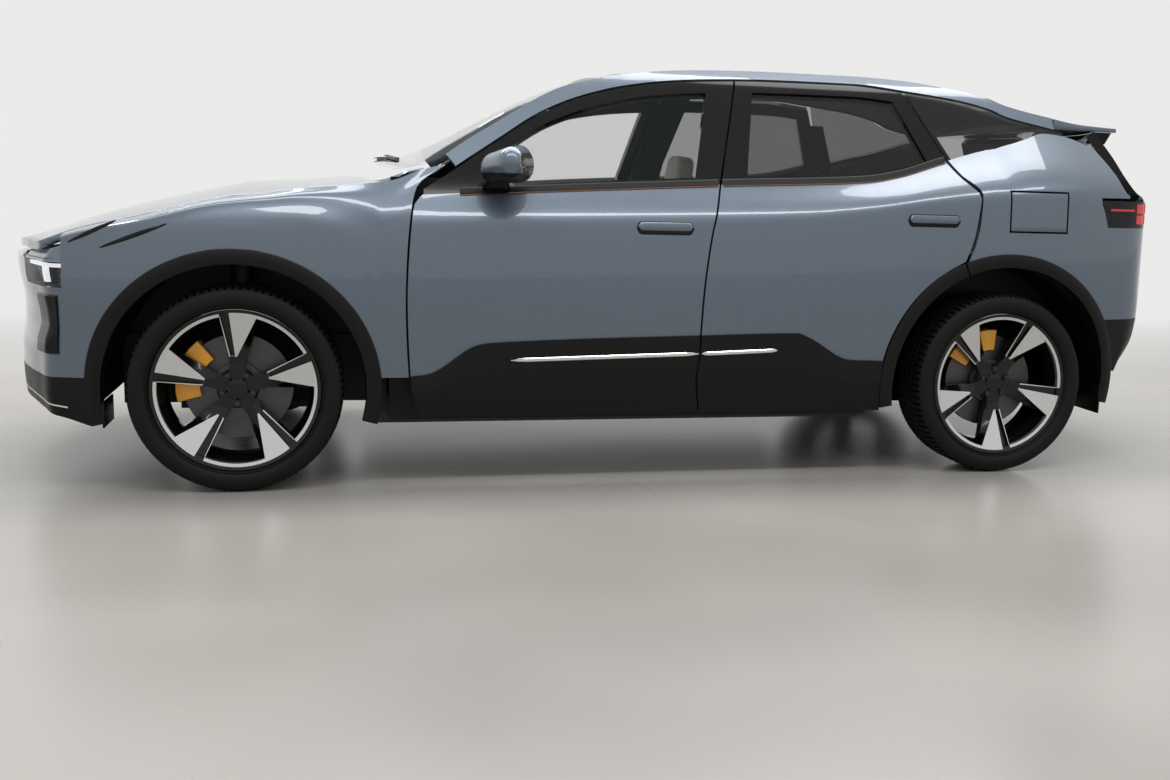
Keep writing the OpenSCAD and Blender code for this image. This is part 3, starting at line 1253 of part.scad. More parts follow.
// Scuttle below the windscreen with the hinge pins of the bonnet
scuttle_top_share = 0.655;
scuttle_half_share = 0.74;
scuttle_half = half_width * scuttle_half_share;
hinge_pin_length = 45;
plate_wall = 10;
module scuttle() {
  front = at(firewall_share);
  color("#1d1f22") {
    translate([front, -scuttle_half, height * firewall_top_share])
      cube([firewall_wall, 2 * scuttle_half, height * (scuttle_top_share - firewall_top_share)]);
    for (s = [-1, 1])
      translate([0, s * (bonnet_hinge_y - lug_width / 2 - shut_gap - plate_wall / 2), 0]) {
      translate([bonnet_hinge_x - bonnet_lug, -plate_wall / 2, height * firewall_top_share])
        cube([bonnet_lug + firewall_wall, plate_wall, bonnet_hinge_z - height * firewall_top_share]);
      translate([bonnet_hinge_x, 0, bonnet_hinge_z]) rotate([90, 0, 0])
        cylinder(r = bonnet_lug / 2, h = plate_wall, center = true);
      translate([bonnet_hinge_x, s * hinge_pin_length / 2, bonnet_hinge_z]) rotate([90, 0, 0])
        cylinder(r = hinge_radius, h = hinge_pin_length, center = true);
    }
  }
}

// Cabin: seats, dashboard and steering wheel
seat_y = 370;
seat_x_share = 0.505;
seat_front_x = -300;
seat_rear_x = 190;
seat_front_height = 300;
seat_rear_height = 240;
seat_corner = 60;
seat_half_share = 0.4;
back_foot = [230, 180];
back_top = [390, 740];
back_foot_radius = 70;
back_foot_share = 0.36;
back_top_share = 0.3;
head_foot = [395, 800];
head_top = [400, 900];
head_half = 80;
head_radius = 50;
module front_seats() {
  color("#b9b2a6") both_sides() translate([at(seat_x_share), -seat_y, floor_height]) {
    hull() for (x = [seat_front_x, seat_rear_x], y = [-1, 1])
      translate([x, y * seat_width * seat_half_share, 0])
      cylinder(r = seat_corner, h = x < 0 ? seat_front_height : seat_rear_height, $fn = 24);
    hull() for (y = [-1, 1]) {
      translate([back_foot[0], y * seat_width * back_foot_share, back_foot[1]])
        sphere(r = back_foot_radius, $fn = 16);
      translate([back_top[0], y * seat_width * back_top_share,
        back_top[1]]) sphere(r = seat_corner, $fn = 16);
    }
    hull() for (y = [-1, 1], p = [head_foot, head_top])
      translate([p[0], y * head_half, p[1]]) sphere(r = head_radius, $fn = 16);
  }
}
bench_share = 0.8;
bench_front_x = -260;
bench_rear_x = 180;
bench_half = 500;
bench_height = 250;
bench_foot = [215, 490, 180];
bench_top = [360, 450, 740];
module rear_seat() {
  color("#b9b2a6") translate([at(bench_share), 0, floor_height]) {
    hull() for (x = [bench_front_x, bench_rear_x], y = [-1, 1])
      translate([x, y * bench_half, 0]) cylinder(r = seat_corner, h = bench_height, $fn = 24);
    hull() for (y = [-1, 1]) {
      translate([bench_foot[0], y * bench_foot[1], bench_foot[2]]) sphere(r = back_foot_radius, $fn = 16);
      translate([bench_top[0], y * bench_top[1], bench_top[2]]) sphere(r = seat_corner, $fn = 16);
    }
  }
}
dash_shares = [[0, 0.3], [0.55, 0.3], [1, 0.62], [1, 0.82], [0.6, 1], [0.1, 1], [0, 0.9]];
dash_length = 430;
dash_bottom = 460;
dash_top = 1060;
dash_half = 690;
console_half = 80;
console_length = 860;
console_top = 590;
tunnel_length_share = 0.55;
tunnel_height_share = 0.7;
steering_hub_share = 0.36;
wheel_spoke_angles = [0, 90, 270];
module dashboard() {
  front = at(firewall_share) + firewall_wall;
  color("#2b2d30") {
    translate([front, dash_half, 0]) rotate([90, 0, 0]) linear_extrude(2 * dash_half)
      polygon([for (p = dash_shares) [p[0] * dash_length, mix(dash_bottom, dash_top, p[1])]]);
    translate([front, -console_half, floor_height])
      cube([console_length, 2 * console_half, console_top - floor_height]);
    translate([front, -console_half, floor_height])
      cube([dash_length * tunnel_length_share, 2 * console_half,
        dash_top * tunnel_height_share - floor_height]);
  }
}
column_tilt = 68;
column_length = 150;
column_z = 900;
rim_tube = 15;
module steering_wheel() {
  x = at(firewall_share) + firewall_wall + dash_length;
  color("#232527") translate([x, -seat_y, column_z]) rotate([0, column_tilt, 0]) {
    translate([0, 0, column_length]) rotate_extrude()
      translate([steering_radius - rim_tube, 0]) circle(rim_tube, $fn = 24);
    translate([0, 0, column_length - rim_tube]) cylinder(r = steering_radius * steering_hub_share,
      h = 2 * rim_tube);
    for (a = wheel_spoke_angles) rotate(a) translate([0, -rim_tube, column_length - rim_tube / 2])
      cube([steering_radius - rim_tube, 2 * rim_tube, rim_tube]);
    cylinder(r = 2 * rim_tube, h = column_length);
  }
}

module cabin_fittings() {
  dashboard();
  steering_wheel();
}
module rear_calipers() {
  for (s = [-1, 1]) caliper(rear_axle_x, s, caliper_angle_rear);
}

tyre(front_axle_x, -1);  // tyre_front_left
tyre(front_axle_x, 1);  // tyre_front_right
tyre(rear_axle_x, -1);  // tyre_rear_left
tyre(rear_axle_x, 1);  // tyre_rear_right
rim(front_axle_x, -1, rim_turn_front);  // rim_front_left
rim(front_axle_x, 1, rim_turn_front);  // rim_front_right
rim(rear_axle_x, -1, rim_turn_rear);  // rim_rear_left
rim(rear_axle_x, 1, rim_turn_rear);  // rim_rear_right
brake_disc(front_axle_x, -1);  // disc_front_left
brake_disc(front_axle_x, 1);  // disc_front_right
brake_disc(rear_axle_x, -1);  // disc_rear_left
brake_disc(rear_axle_x, 1);  // disc_rear_right
knuckle(-1);  // knuckle_left
knuckle(1);  // knuckle_right
caliper(front_axle_x, -1, caliper_angle_front);  // caliper_front_left
caliper(front_axle_x, 1, caliper_angle_front);  // caliper_front_right
rear_calipers();  // calipers_rear
front_axle();
rear_axle();
drive_units();
battery_pack();
underbody();
body_frame();
roof_frame();
front_arches();
rear_arches();
front_wings();
quarter_panels();
quarter_windows();
charge_flap();
front_bumper();
front_lower_bumper();
headlamps();
rear_bumper();
rear_lower_bumper();
tail_lamps();
bonnet();
scuttle();
windscreen();
roof_glass();
tailgate();
rear_glass();
roof_spoiler();
door(0, -1);  // door_front_left
door(0, 1);  // door_front_right
door(1, -1);  // door_rear_left
door(1, 1);  // door_rear_right
door_glass(0, -1);  // glass_front_left
door_glass(0, 1);  // glass_front_right
door_glass(1, -1);  // glass_rear_left
door_glass(1, 1);  // glass_rear_right
door_cladding(0, -1);  // cladding_front_left
door_cladding(0, 1);  // cladding_front_right
door_cladding(1, -1);  // cladding_rear_left
door_cladding(1, 1);  // cladding_rear_right
door_mirror(-1);  // mirror_left
door_mirror(1);  // mirror_right
front_seats();
cabin_fittings();
rear_seat();
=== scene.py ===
# %% [markdown]
# # Dressing a sport utility vehicle
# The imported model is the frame: sixty plain solids with their joints. This lesson keeps the frame as it is
# and puts the finished surfaces over it, piece by piece, so that every door, lid and wheel still moves with
# its own body.

# %% Load the frame
import bpy, bmesh, math, json
from mathutils import Vector, Matrix


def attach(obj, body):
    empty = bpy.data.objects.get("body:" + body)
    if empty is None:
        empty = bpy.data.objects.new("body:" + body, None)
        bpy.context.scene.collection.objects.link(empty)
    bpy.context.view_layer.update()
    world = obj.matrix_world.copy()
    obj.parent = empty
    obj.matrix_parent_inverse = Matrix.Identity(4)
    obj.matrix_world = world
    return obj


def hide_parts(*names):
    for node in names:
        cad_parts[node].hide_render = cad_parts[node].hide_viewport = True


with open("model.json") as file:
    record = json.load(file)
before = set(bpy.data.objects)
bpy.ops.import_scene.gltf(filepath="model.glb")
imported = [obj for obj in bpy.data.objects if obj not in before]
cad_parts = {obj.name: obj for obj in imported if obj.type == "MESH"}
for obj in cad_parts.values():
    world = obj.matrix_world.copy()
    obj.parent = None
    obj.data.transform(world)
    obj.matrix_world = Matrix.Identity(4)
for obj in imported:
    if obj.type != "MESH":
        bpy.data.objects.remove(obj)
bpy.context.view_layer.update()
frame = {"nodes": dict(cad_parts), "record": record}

# %% [markdown]
# ## The camera
# The photograph was taken from the left, a little ahead of the middle and about as high as the mirrors. A
# camera's matrix is its right, up and backward directions with its place, so the three angles are turned into
# those columns directly. The picture's centre lies beside the lens axis, and a small sensor shift takes that
# up.

# %% Place the camera
photo_width = 1170
focal_pixels, shift_pixels = 1316.633, 120.0
yaw, pitch, roll = 0.259, -0.153, 0.031
ahead = Vector((math.sin(yaw) * math.cos(pitch), math.cos(yaw) * math.cos(pitch), math.sin(pitch)))
level = Vector((math.cos(yaw), -math.sin(yaw), 0.0))
above = level.cross(ahead)
right = math.cos(roll) * level + math.sin(roll) * above
up = math.cos(roll) * above - math.sin(roll) * level
camera_data = bpy.data.cameras.new("photo_camera")
camera_data.sensor_width = 36.0
camera_data.lens = 36.0 * focal_pixels / photo_width
camera_data.shift_x = -shift_pixels / photo_width
camera_data.clip_start, camera_data.clip_end = 0.1, 200.0
camera = bpy.data.objects.new("photo_camera", camera_data)
bpy.context.scene.collection.objects.link(camera)
camera.matrix_world = (Matrix.Translation((-1.1239, -5.8267, 1.1377))
                       @ Matrix((right, up, -ahead)).transposed().to_4x4())
bpy.context.scene.camera = camera
print("lens", round(camera_data.lens, 2), "mm")

# %% [markdown]
# ## Small helpers for finishes
# Most finishes here share one recipe: a principled shader whose colour and roughness drift a little with
# noise read from Object coordinates, and a fine bump. Numbers that are the same all over go straight on the
# shader's sockets.

# %% Helpers for materials
def linear(rgb):
    """A colour read off a picture (0 to 255) as the linear values that shaders use."""
    def one(c):
        c /= 255.0
        return c / 12.92 if c <= 0.04045 else ((c + 0.055) / 1.055) ** 2.4
    return tuple(one(c) for c in rgb) + (1.0,)


def shaded(colour, k):
    return tuple(min(1.0, c * k) for c in colour[:3]) + (1.0,)


def new_material(name):
    material = bpy.data.materials.new(name)
    material.use_nodes = True
    tree = material.node_tree
    shader = next(n for n in tree.nodes if n.type == "BSDF_PRINCIPLED")
    return material, tree, shader


def add(tree, kind, **sockets):
    node = tree.nodes.new(kind)
    for key, value in sockets.items():
        node.inputs[key.replace("_", " ")].default_value = value
    return node


print("plain shaders can be made")

# %% [markdown]
# ### Marks of making
# No real surface is quite even: paint drifts, leather has pores, a floor is rubbed. Noise stands for all of
# them. A ramp turns it into two near colours, a range into a roughness, and a bump node into a grain that
# light can catch.

# %% Helpers for noise, ramps and bump
def noise(tree, scale, detail=3.0, stretch=None):
    where = tree.nodes.new("ShaderNodeTexCoord")
    texture = add(tree, "ShaderNodeTexNoise", Scale=scale, Detail=detail)
    source = where.outputs["Object"]
    if stretch:
        mapping = add(tree, "ShaderNodeMapping", Scale=stretch)
        tree.links.new(source, mapping.inputs["Vector"])
        source = mapping.outputs["Vector"]
    tree.links.new(source, texture.inputs["Vector"])
    return texture


def ramp(tree, source, stops):
    node = tree.nodes.new("ShaderNodeValToRGB")
    elements = node.color_ramp.elements
    while len(elements) < len(stops):
        elements.new(0.5)
    for element, (place, colour) in zip(elements, stops):
        element.position, element.color = place, colour
    tree.links.new(source, node.inputs["Fac"])
    return node.outputs["Color"]


def spread(tree, source, low, high):
    node = add(tree, "ShaderNodeMapRange", To_Min=low, To_Max=high)
    tree.links.new(source, node.inputs["Value"])
    return node.outputs["Result"]


def bump(tree, shader, source, strength, distance=0.001):
    node = add(tree, "ShaderNodeBump", Strength=strength, Distance=distance)
    tree.links.new(source, node.inputs["Height"])
    tree.links.new(node.outputs["Normal"], shader.inputs["Normal"])


print("noise can be read")

# %% [markdown]
# ### One recipe for most finishes
# The pieces above are joined once, so that a finish below is one line with its colour and its few numbers.

# %% The common recipe
def finish(name, rgb, rough, drift=0.08, scale=18.0, grain=0.0, grain_scale=600.0, stretch=None, **sockets):
    material, tree, shader = new_material(name)
    colour = linear(rgb)
    cloud = noise(tree, scale, stretch=stretch).outputs["Fac"]
    tree.links.new(ramp(tree, cloud, [(0.3, shaded(colour, 1 - drift)), (0.7, shaded(colour, 1 + drift))]),
                   shader.inputs["Base Color"])
    tree.links.new(spread(tree, cloud, rough * 0.85, min(1.0, rough * 1.15)), shader.inputs["Roughness"])
    if grain:
        bump(tree, shader, noise(tree, grain_scale, 2.0).outputs["Fac"], grain)
    for key, value in sockets.items():
        shader.inputs[key.replace("_", " ")].default_value = value
    return material


print("helpers ready")

# %% [markdown]
# ## Floor and light
# The hall has a pale polished floor and white walls, lit by rows of ceiling lamps. A wide floor that pales
# with distance stands for both, and a white world closes it. Long soft lamps above draw the lines along the
# shoulders.

# %% Build the stage
floor_mesh = bmesh.new()
bmesh.ops.create_grid(floor_mesh, x_segments=8, y_segments=8, size=60.0)
floor_data = bpy.data.meshes.new("hall_floor")
floor_mesh.to_mesh(floor_data)
floor_mesh.free()
hall_floor = bpy.data.objects.new("hall_floor", floor_data)
bpy.context.scene.collection.objects.link(hall_floor)
floor_material, tree, shader = new_material("polished_floor")
place = tree.nodes.new("ShaderNodeTexCoord")
ring = tree.nodes.new("ShaderNodeSeparateXYZ")
tree.links.new(place.outputs["Object"], ring.inputs[0])
clouds = noise(tree, 0.7, 2.0).outputs["Fac"]
tree.links.new(ramp(tree, clouds, [(0.3, linear((162, 158, 152))), (0.7, linear((176, 172, 166)))]),
               shader.inputs["Base Color"])
tree.links.new(spread(tree, clouds, 0.2, 0.34), shader.inputs["Roughness"])
wall_glow = add(tree, "ShaderNodeEmission", Color=(0.83, 0.83, 0.82, 1.0), Strength=1.0)
wall_fade = spread(tree, ring.outputs["Y"], 0.0, 1.0)
wall_fade.node.inputs["From Min"].default_value = 1.6
wall_fade.node.inputs["From Max"].default_value = 5.5
joined = tree.nodes.new("ShaderNodeMixShader")
tree.links.new(wall_fade, joined.inputs["Fac"])
tree.links.new(shader.outputs[0], joined.inputs[1])
tree.links.new(wall_glow.outputs[0], joined.inputs[2])
end = next(n for n in tree.nodes if n.type == "OUTPUT_MATERIAL")
tree.links.new(joined.outputs[0], end.inputs["Surface"])
floor_data.materials.append(floor_material)
print("floor laid")

# %% [markdown]
# ### Two whites
# The hall lights the car with a dimmer white than the one the eye sees on its walls. The world holds both,
# and the kind of ray chooses: rays seen directly, mirrored or through glass meet the wall, all the others
# meet the light.

# %% Light the world
world = bpy.data.worlds.new("hall")
bpy.context.scene.world = world
world.use_nodes = True
tree = world.node_tree
tree.nodes.clear()
lit = add(tree, "ShaderNodeBackground", Color=(0.96, 0.98, 1.0, 1.0), Strength=0.62)
seen = add(tree, "ShaderNodeBackground", Color=(0.83, 0.83, 0.82, 1.0), Strength=1.0)
path = tree.nodes.new("ShaderNodeLightPath")
either = path.outputs["Is Camera Ray"]
for kind in ("Is Glossy Ray", "Is Transmission Ray"):
    larger = tree.nodes.new("ShaderNodeMath")
    larger.operation = "MAXIMUM"
    tree.links.new(either, larger.inputs[0])
    tree.links.new(path.outputs[kind], larger.inputs[1])
    either = larger.outputs[0]
mixed = tree.nodes.new("ShaderNodeMixShader")
tree.links.new(either, mixed.inputs["Fac"])
tree.links.new(lit.outputs[0], mixed.inputs[1])
tree.links.new(seen.outputs[0], mixed.inputs[2])
out = tree.nodes.new("ShaderNodeOutputWorld")
tree.links.new(mixed.outputs[0], out.inputs["Surface"])
print("world lit")

# %% [markdown]
# ### Ceiling lamps
# Three rows of lamps hang along the car. Long narrow rectangles give the long reflections that show a panel's
# shape.

# %% Hang the lamps
def lamp(name, place, aim, size, watts):
    data = bpy.data.lights.new(name, "AREA")
    data.shape, data.size, data.size_y, data.energy = "RECTANGLE", size[0], size[1], watts
    holder = bpy.data.objects.new(name, data)
    bpy.context.scene.collection.objects.link(holder)
    holder.location = place
    holder.rotation_euler = (Vector(aim) - Vector(place)).to_track_quat("-Z", "Y").to_euler()


lamp("ceiling_row_middle", (0.0, 0.0, 4.6), (0.0, 0.0, 0.0), (7.0, 1.6), 190)
lamp("ceiling_row_left", (0.0, -3.4, 4.4), (0.0, -0.6, 0.4), (8.0, 0.5), 120)
lamp("ceiling_row_right", (0.0, 3.4, 4.4), (0.0, 0.6, 0.4), (8.0, 0.5), 120)
bpy.context.scene.view_settings.view_transform = "Standard"
print("stage ready")

# %% [markdown]
# ## The shape of the body
# Body surfaces are drawn as a few curves: how high the belt, shoulder, roof and bonnet run along the car, and
# how wide it is at each height. The tables below hold points of those curves as shares of the overall sizes,
# and a smooth curve through them gives any point of the skin. The solids use the same tables, so panels land
# where they belong.

# %% Curves of the body
length, height, wheelbase = 4.82, 1.63, 2.985
front_overhang, half_width = 0.858, 0.975
rear_overhang = length - wheelbase - front_overhang
nose_x, tail_x = -length / 2, length / 2
front_axle_x, rear_axle_x, hub_z, wheel_y = nose_x + front_overhang, tail_x - rear_overhang, 0.37, 0.815


def curve(knots, t):
    """A smooth curve through the knots that never overshoots them."""
    n = len(knots) - 1
    t = min(max(t, knots[0][0]), knots[n][0])
    i = next((k for k in range(n) if t <= knots[k + 1][0]), n - 1)
    def rise(k):
        return (knots[k + 1][1] - knots[k][1]) / (knots[k + 1][0] - knots[k][0])
    def slope(k):
        if k == 0:
            return rise(0)
        if k == n:
            return rise(n - 1)
        a, b = rise(k - 1), rise(k)
        return 0.0 if a * b <= 0 else 2 * a * b / (a + b)
    h = knots[i + 1][0] - knots[i][0]
    u = (t - knots[i][0]) / h
    a, b = knots[i][1], knots[i + 1][1]
    return ((1 + 2 * u) * (1 - u) ** 2 * a + u * (1 - u) ** 2 * h * slope(i)
            + u * u * (3 - 2 * u) * b + u * u * (u - 1) * h * slope(i + 1))


print("body", length, "x", height, "m on a wheelbase of", wheelbase)

# %% [markdown]
# ### Stations
# Places along the car are counted in stations tied to the axles, so that a point keeps its place on the car
# when the overhangs are known. One function gives the place of a station and the other the station of a
# place.

# %% Stations along the car
def at(s):
    """Where a station lies: -1 is the nose, 0 and 1 the axles, 2 the tail."""
    if s < 0:
        return front_axle_x + s * front_overhang
    return front_axle_x + s * wheelbase if s <= 1 else rear_axle_x + (s - 1) * rear_overhang


def station(x):
    if x < front_axle_x:
        return (x - front_axle_x) / front_overhang
    return (x - front_axle_x) / wheelbase if x <= rear_axle_x else 1 + (x - rear_axle_x) / rear_overhang


print("front axle at", round(at(0), 3), "and rear axle at", round(at(1), 3))

# %% [markdown]
# ### Tables
# Each table holds pairs of a station, or a share of the height, and a share of an overall size.

# %% Tables of the curves
belt_shares = [(-1, 0.645), (0.15, 0.655), (0.22, 0.662), (0.345, 0.677), (0.6, 0.705), (0.8, 0.725),
               (0.85, 0.741), (0.92, 0.779), (1.087, 0.852), (1.19, 0.867), (2, 0.867)]
shoulder_shares = [(-1, 0.54), (-0.4, 0.56), (0, 0.575), (0.2, 0.588), (0.5, 0.607), (0.7, 0.626),
                   (0.8, 0.65), (0.9, 0.678), (1, 0.692), (1.4, 0.699), (2, 0.699)]
window_top_shares = [(0.22, 0.674), (0.247, 0.706), (0.319, 0.795), (0.381, 0.866), (0.449, 0.912),
                     (0.517, 0.939), (0.586, 0.952), (0.671, 0.96), (0.801, 0.962), (0.878, 0.95),
                     (0.947, 0.935), (1.073, 0.897), (1.3, 0.868), (1.5, 0.845)]
edge_shares = [(0.13, 0.7), (0.23, 0.736), (0.271, 0.784), (0.319, 0.839), (0.397, 0.921), (0.451, 0.949),
               (0.507, 0.969), (0.594, 0.984), (0.68, 0.989), (0.812, 0.99), (0.887, 0.984), (0.955, 0.967),
               (1.073, 0.934), (1.253, 0.909), (1.5, 0.889), (1.85, 0.883)]
crown_shares = [(0.13, 0.713), (0.23, 0.774), (0.271, 0.816), (0.319, 0.862), (0.429, 0.955), (0.451, 0.966),
                (0.507, 0.985), (0.594, 0.997), (0.68, 1), (0.812, 1), (0.887, 0.994), (0.955, 0.979),
                (1.073, 0.955), (1.253, 0.934), (1.5, 0.914), (1.7, 0.9), (1.85, 0.893)]
bonnet_edge_shares = [(-0.8, 0.53), (-0.6, 0.57), (-0.343, 0.603), (-0.12, 0.635), (0.02, 0.651),
                      (0.076, 0.667), (0.133, 0.678), (0.16, 0.684), (0.2, 0.7), (0.23, 0.73)]
bonnet_crown_shares = [(-1, 0.521), (-0.85, 0.552), (-0.59, 0.601), (-0.235, 0.651), (0.064, 0.688),
                       (0.152, 0.704), (0.2, 0.71)]
plan_shares = [(-1, 0.78), (-0.9, 0.84), (-0.7, 0.915), (-0.5, 0.965), (-0.25, 0.992), (0, 1), (0.2, 0.99),
               (0.6, 0.988), (0.9, 0.995), (1, 1), (1.3, 0.985), (1.5, 0.95), (1.65, 0.905), (1.8, 0.83),
               (1.9, 0.74)]
cabin_shares = [(0.64, 0.94), (0.7055, 0.88), (0.7975, 0.79), (0.908, 0.677), (0.957, 0.615), (0.995, 0.52)]
flank_shares = [(0.13, 0.945), (0.26, 0.972), (0.43, 0.99)]
bonnet_half_shares = [(-1, 0.8), (-0.7, 0.835), (-0.3, 0.865), (0, 0.868), (0.16, 0.872), (0.2, 0.862),
                      (0.23, 0.85), (0.26, 0.83)]


print(len(plan_shares), "points round the plan")

# %% [markdown]
# ### Surfaces
# Below the belt the side follows the flank and above it the cabin leans in. Bonnet and roof are arched from a
# crown line in the middle down to an edge line, so a square of the distance from the middle is enough.

# %% Surfaces from the tables
def belt_z(x):
    return height * curve(belt_shares, station(x))


def side(x, z):
    """Half the width of the body at a place along it and a height."""
    h, s = z / height, station(x)
    belt = curve(belt_shares, s)
    if h >= belt:
        share = curve(cabin_shares, h)
    else:
        share = curve(flank_shares + [(curve(shoulder_shares, s), 0.978),
                                      (belt, curve(cabin_shares, belt))], h)
    return half_width * curve(plan_shares, s) * share


def bonnet_z(x, y):
    crown = height * curve(bonnet_crown_shares, station(x))
    edge = height * curve(bonnet_edge_shares, station(x))
    return crown - (crown - edge) * (y / (half_width * curve(bonnet_half_shares, station(x)))) ** 2


def top_z(x, y):
    crown, edge = height * curve(crown_shares, station(x)), height * curve(edge_shares, station(x))
    return crown - (crown - edge) * (y / side(x, edge)) ** 2


print("half width at the front door", round(side(at(0.4), 0.8), 3))

# %% [markdown]
# ## From solid to finished piece
# A imported solid is a shell of loose flat triangles. A copy of it is merged before any operator works on it,
# and its long edges are cut again and again where the copy has to bend. Every finished mesh then becomes an
# object that rides on a body of the frame, and the solids it stands for are hidden.

# %% Helpers that copy and finish
def copied(node):
    bm = bmesh.new()
    bm.from_mesh(frame["nodes"][node].data)
    bmesh.ops.remove_doubles(bm, verts=bm.verts, dist=0.00002)
    return bm


def cut_long(bm, longest):
    for _ in range(6):
        wanted = [e for e in bm.edges if e.calc_length() > longest]
        if not wanted:
            break
        bmesh.ops.subdivide_edges(bm, edges=wanted, cuts=1)
        bmesh.ops.triangulate(bm, faces=[f for f in bm.faces if len(f.verts) > 3])


def made(bm, name, body, materials, nodes=(), slot=None, sharp=33):
    data = bpy.data.meshes.new(name)
    bm.to_mesh(data)
    bm.free()
    for m in materials:
        data.materials.append(m)
    data.shade_smooth()
    data.set_sharp_from_angle(angle=math.radians(sharp))
    piece = bpy.data.objects.new(name, data)
    bpy.context.scene.collection.objects.link(piece)
    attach(piece, body)
    if nodes:
        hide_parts(*nodes)
    return piece


body_of_node = {n: b for b, ns in frame["record"]["behaviour"]["bodies"].items() for n in ns}


print("pieces can be made")

# %% [markdown]
# ## Finishes of the car
# The paint is a blue grey with fine metal flakes under a clear coat. Flakes are a very small cell pattern
# that shifts the colour by a few per cent, and the coat on top gives the sharp reflections of the lamps.
# Around it are satin black plastics, rubber, machined and painted metal, leather and several kinds of glass.

# %% Make the finishes
paint, tree, shader = new_material("blue_grey_metallic_paint")
where = tree.nodes.new("ShaderNodeTexCoord")
flakes = add(tree, "ShaderNodeTexVoronoi", Scale=1400.0)
tree.links.new(where.outputs["Object"], flakes.inputs["Vector"])
flake_colour = ramp(tree, flakes.outputs["Color"],
                    [(0.0, linear((75, 86, 98))), (1.0, linear((102, 115, 130)))])
tree.links.new(flake_colour, shader.inputs["Base Color"])
tree.links.new(spread(tree, noise(tree, 9.0).outputs["Fac"], 0.30, 0.40), shader.inputs["Roughness"])
for key, value in {"Metallic": 0.45, "Coat Weight": 1.0, "Coat Roughness": 0.03}.items():
    shader.inputs[key].default_value = value

satin_black = finish("satin_black_plastic", (10, 10, 11), 0.42, grain=0.12, grain_scale=900.0,
                     Specular_IOR_Level=0.22)
gloss_black = finish("gloss_black", (9, 9, 10), 0.1, Specular_IOR_Level=0.18, Coat_Weight=0.15)
rubber = finish("tyre_rubber", (15, 15, 15), 0.62, drift=0.12, grain=0.2, grain_scale=700.0,
                Specular_IOR_Level=0.2)
machined = finish("machined_alloy", (205, 206, 205), 0.3, drift=0.03, scale=40.0, stretch=(1, 1, 8),
                  Metallic=0.85)
black_alloy = finish("black_alloy", (10, 10, 11), 0.16, Specular_IOR_Level=0.3, Coat_Weight=0.15)
chrome = finish("bright_chrome", (222, 222, 220), 0.12, drift=0.02, Metallic=1.0)
bronze = finish("bronze_line", (84, 58, 44), 0.3, drift=0.04, Metallic=0.8)
steel = finish("bare_steel", (84, 84, 84), 0.42, drift=0.1, grain=0.15, grain_scale=300.0, Metallic=0.9)
gold = finish("gold_caliper_paint", (252, 172, 18), 0.32, drift=0.06, Coat_Weight=0.6)
dark_metal = finish("dark_metal", (52, 53, 55), 0.5, drift=0.15, grain=0.2, Metallic=0.6)
leather = finish("pale_leather", (196, 190, 180), 0.55, drift=0.05, grain=0.25, grain_scale=420.0)
dash_plastic = finish("dark_dash", (44, 44, 46), 0.6, grain=0.25, grain_scale=500.0)
headlining = finish("pale_cloth", (188, 186, 180), 0.9, grain=0.3, grain_scale=900.0)
clear_glass = finish("clear_glass", (52, 62, 57), 0.03, drift=0.02, Alpha=0.1)
dark_glass = finish("tinted_glass", (15, 17, 16), 0.03, drift=0.02, Alpha=0.42)
lamp_glass = finish("lamp_lens", (70, 74, 80), 0.04, drift=0.02, Alpha=0.25)
red_lens = finish("red_lens", (150, 8, 10), 0.12, drift=0.1, Emission_Strength=0.35,
                  Emission_Color=(0.8, 0.02, 0.02, 1))
white_light = finish("running_light", (240, 240, 240), 0.2, drift=0.02, Emission_Strength=1.1,
                     Emission_Color=(0.95, 0.97, 1.0, 1))
lamp_bowl = finish("lamp_bowl", (120, 122, 126), 0.2, drift=0.1, Metallic=0.8)
print(len(bpy.data.materials), "finishes")

# %% [markdown]
# ## First dressing of every solid
# Each node gets its finish here, so that nothing is left bare. The panels that show are then replaced by
# smooth copies in the cells that follow.

# %% Give every node a finish
plain_finish = {
    "paint": ["front_wings", "quarter_panels", "charge_flap", "front_bumper", "rear_bumper", "bonnet",
              "tailgate", "roof_spoiler", "roof_frame", "mirror_left", "mirror_right"],
    "satin": ["front_arches", "rear_arches", "front_lower_bumper", "rear_lower_bumper", "scuttle",
              "underbody", "body_frame"],
    "dark": ["front_axle", "rear_axle", "drive_units", "battery_pack", "knuckle_left", "knuckle_right"],
    "cabin": ["cabin_fittings"],
}
named = {"paint": paint, "satin": satin_black, "dark": dark_metal, "cabin": dash_plastic}
for key, nodes in plain_finish.items():
    for node in nodes:
        frame["nodes"][node].data.materials.clear()
        frame["nodes"][node].data.materials.append(named[key])
for node, piece in frame["nodes"].items():
    for start, material in {"tyre": rubber, "rim": black_alloy, "disc": steel, "caliper": gold,
                            "glass": dark_glass, "quarter_windows": dark_glass, "windscreen": clear_glass,
                            "roof_glass": dark_glass, "rear_glass": dark_glass, "headlamps": gloss_black,
                            "tail_lamps": gloss_black, "front_seats": leather, "rear_seat": leather,
                            "door": paint, "cladding": satin_black}.items():
        if node.startswith(start):
            piece.data.materials.clear()
            piece.data.materials.append(material)
for node in ("glass_front_left", "glass_front_right"):
    frame["nodes"][node].data.materials.clear()
    frame["nodes"][node].data.materials.append(clear_glass)
print("every node has a finish")

# %% [markdown]
# ## The bonnet
# The bonnet is one crowned pressing with hinge lugs below. Its solid has the right outline but flat facets,
# so a copy is cut finely and each point is lifted to the smooth crown. What stays the same is how far a point
# stands above or below the skin, so the edges and the lugs keep their place.

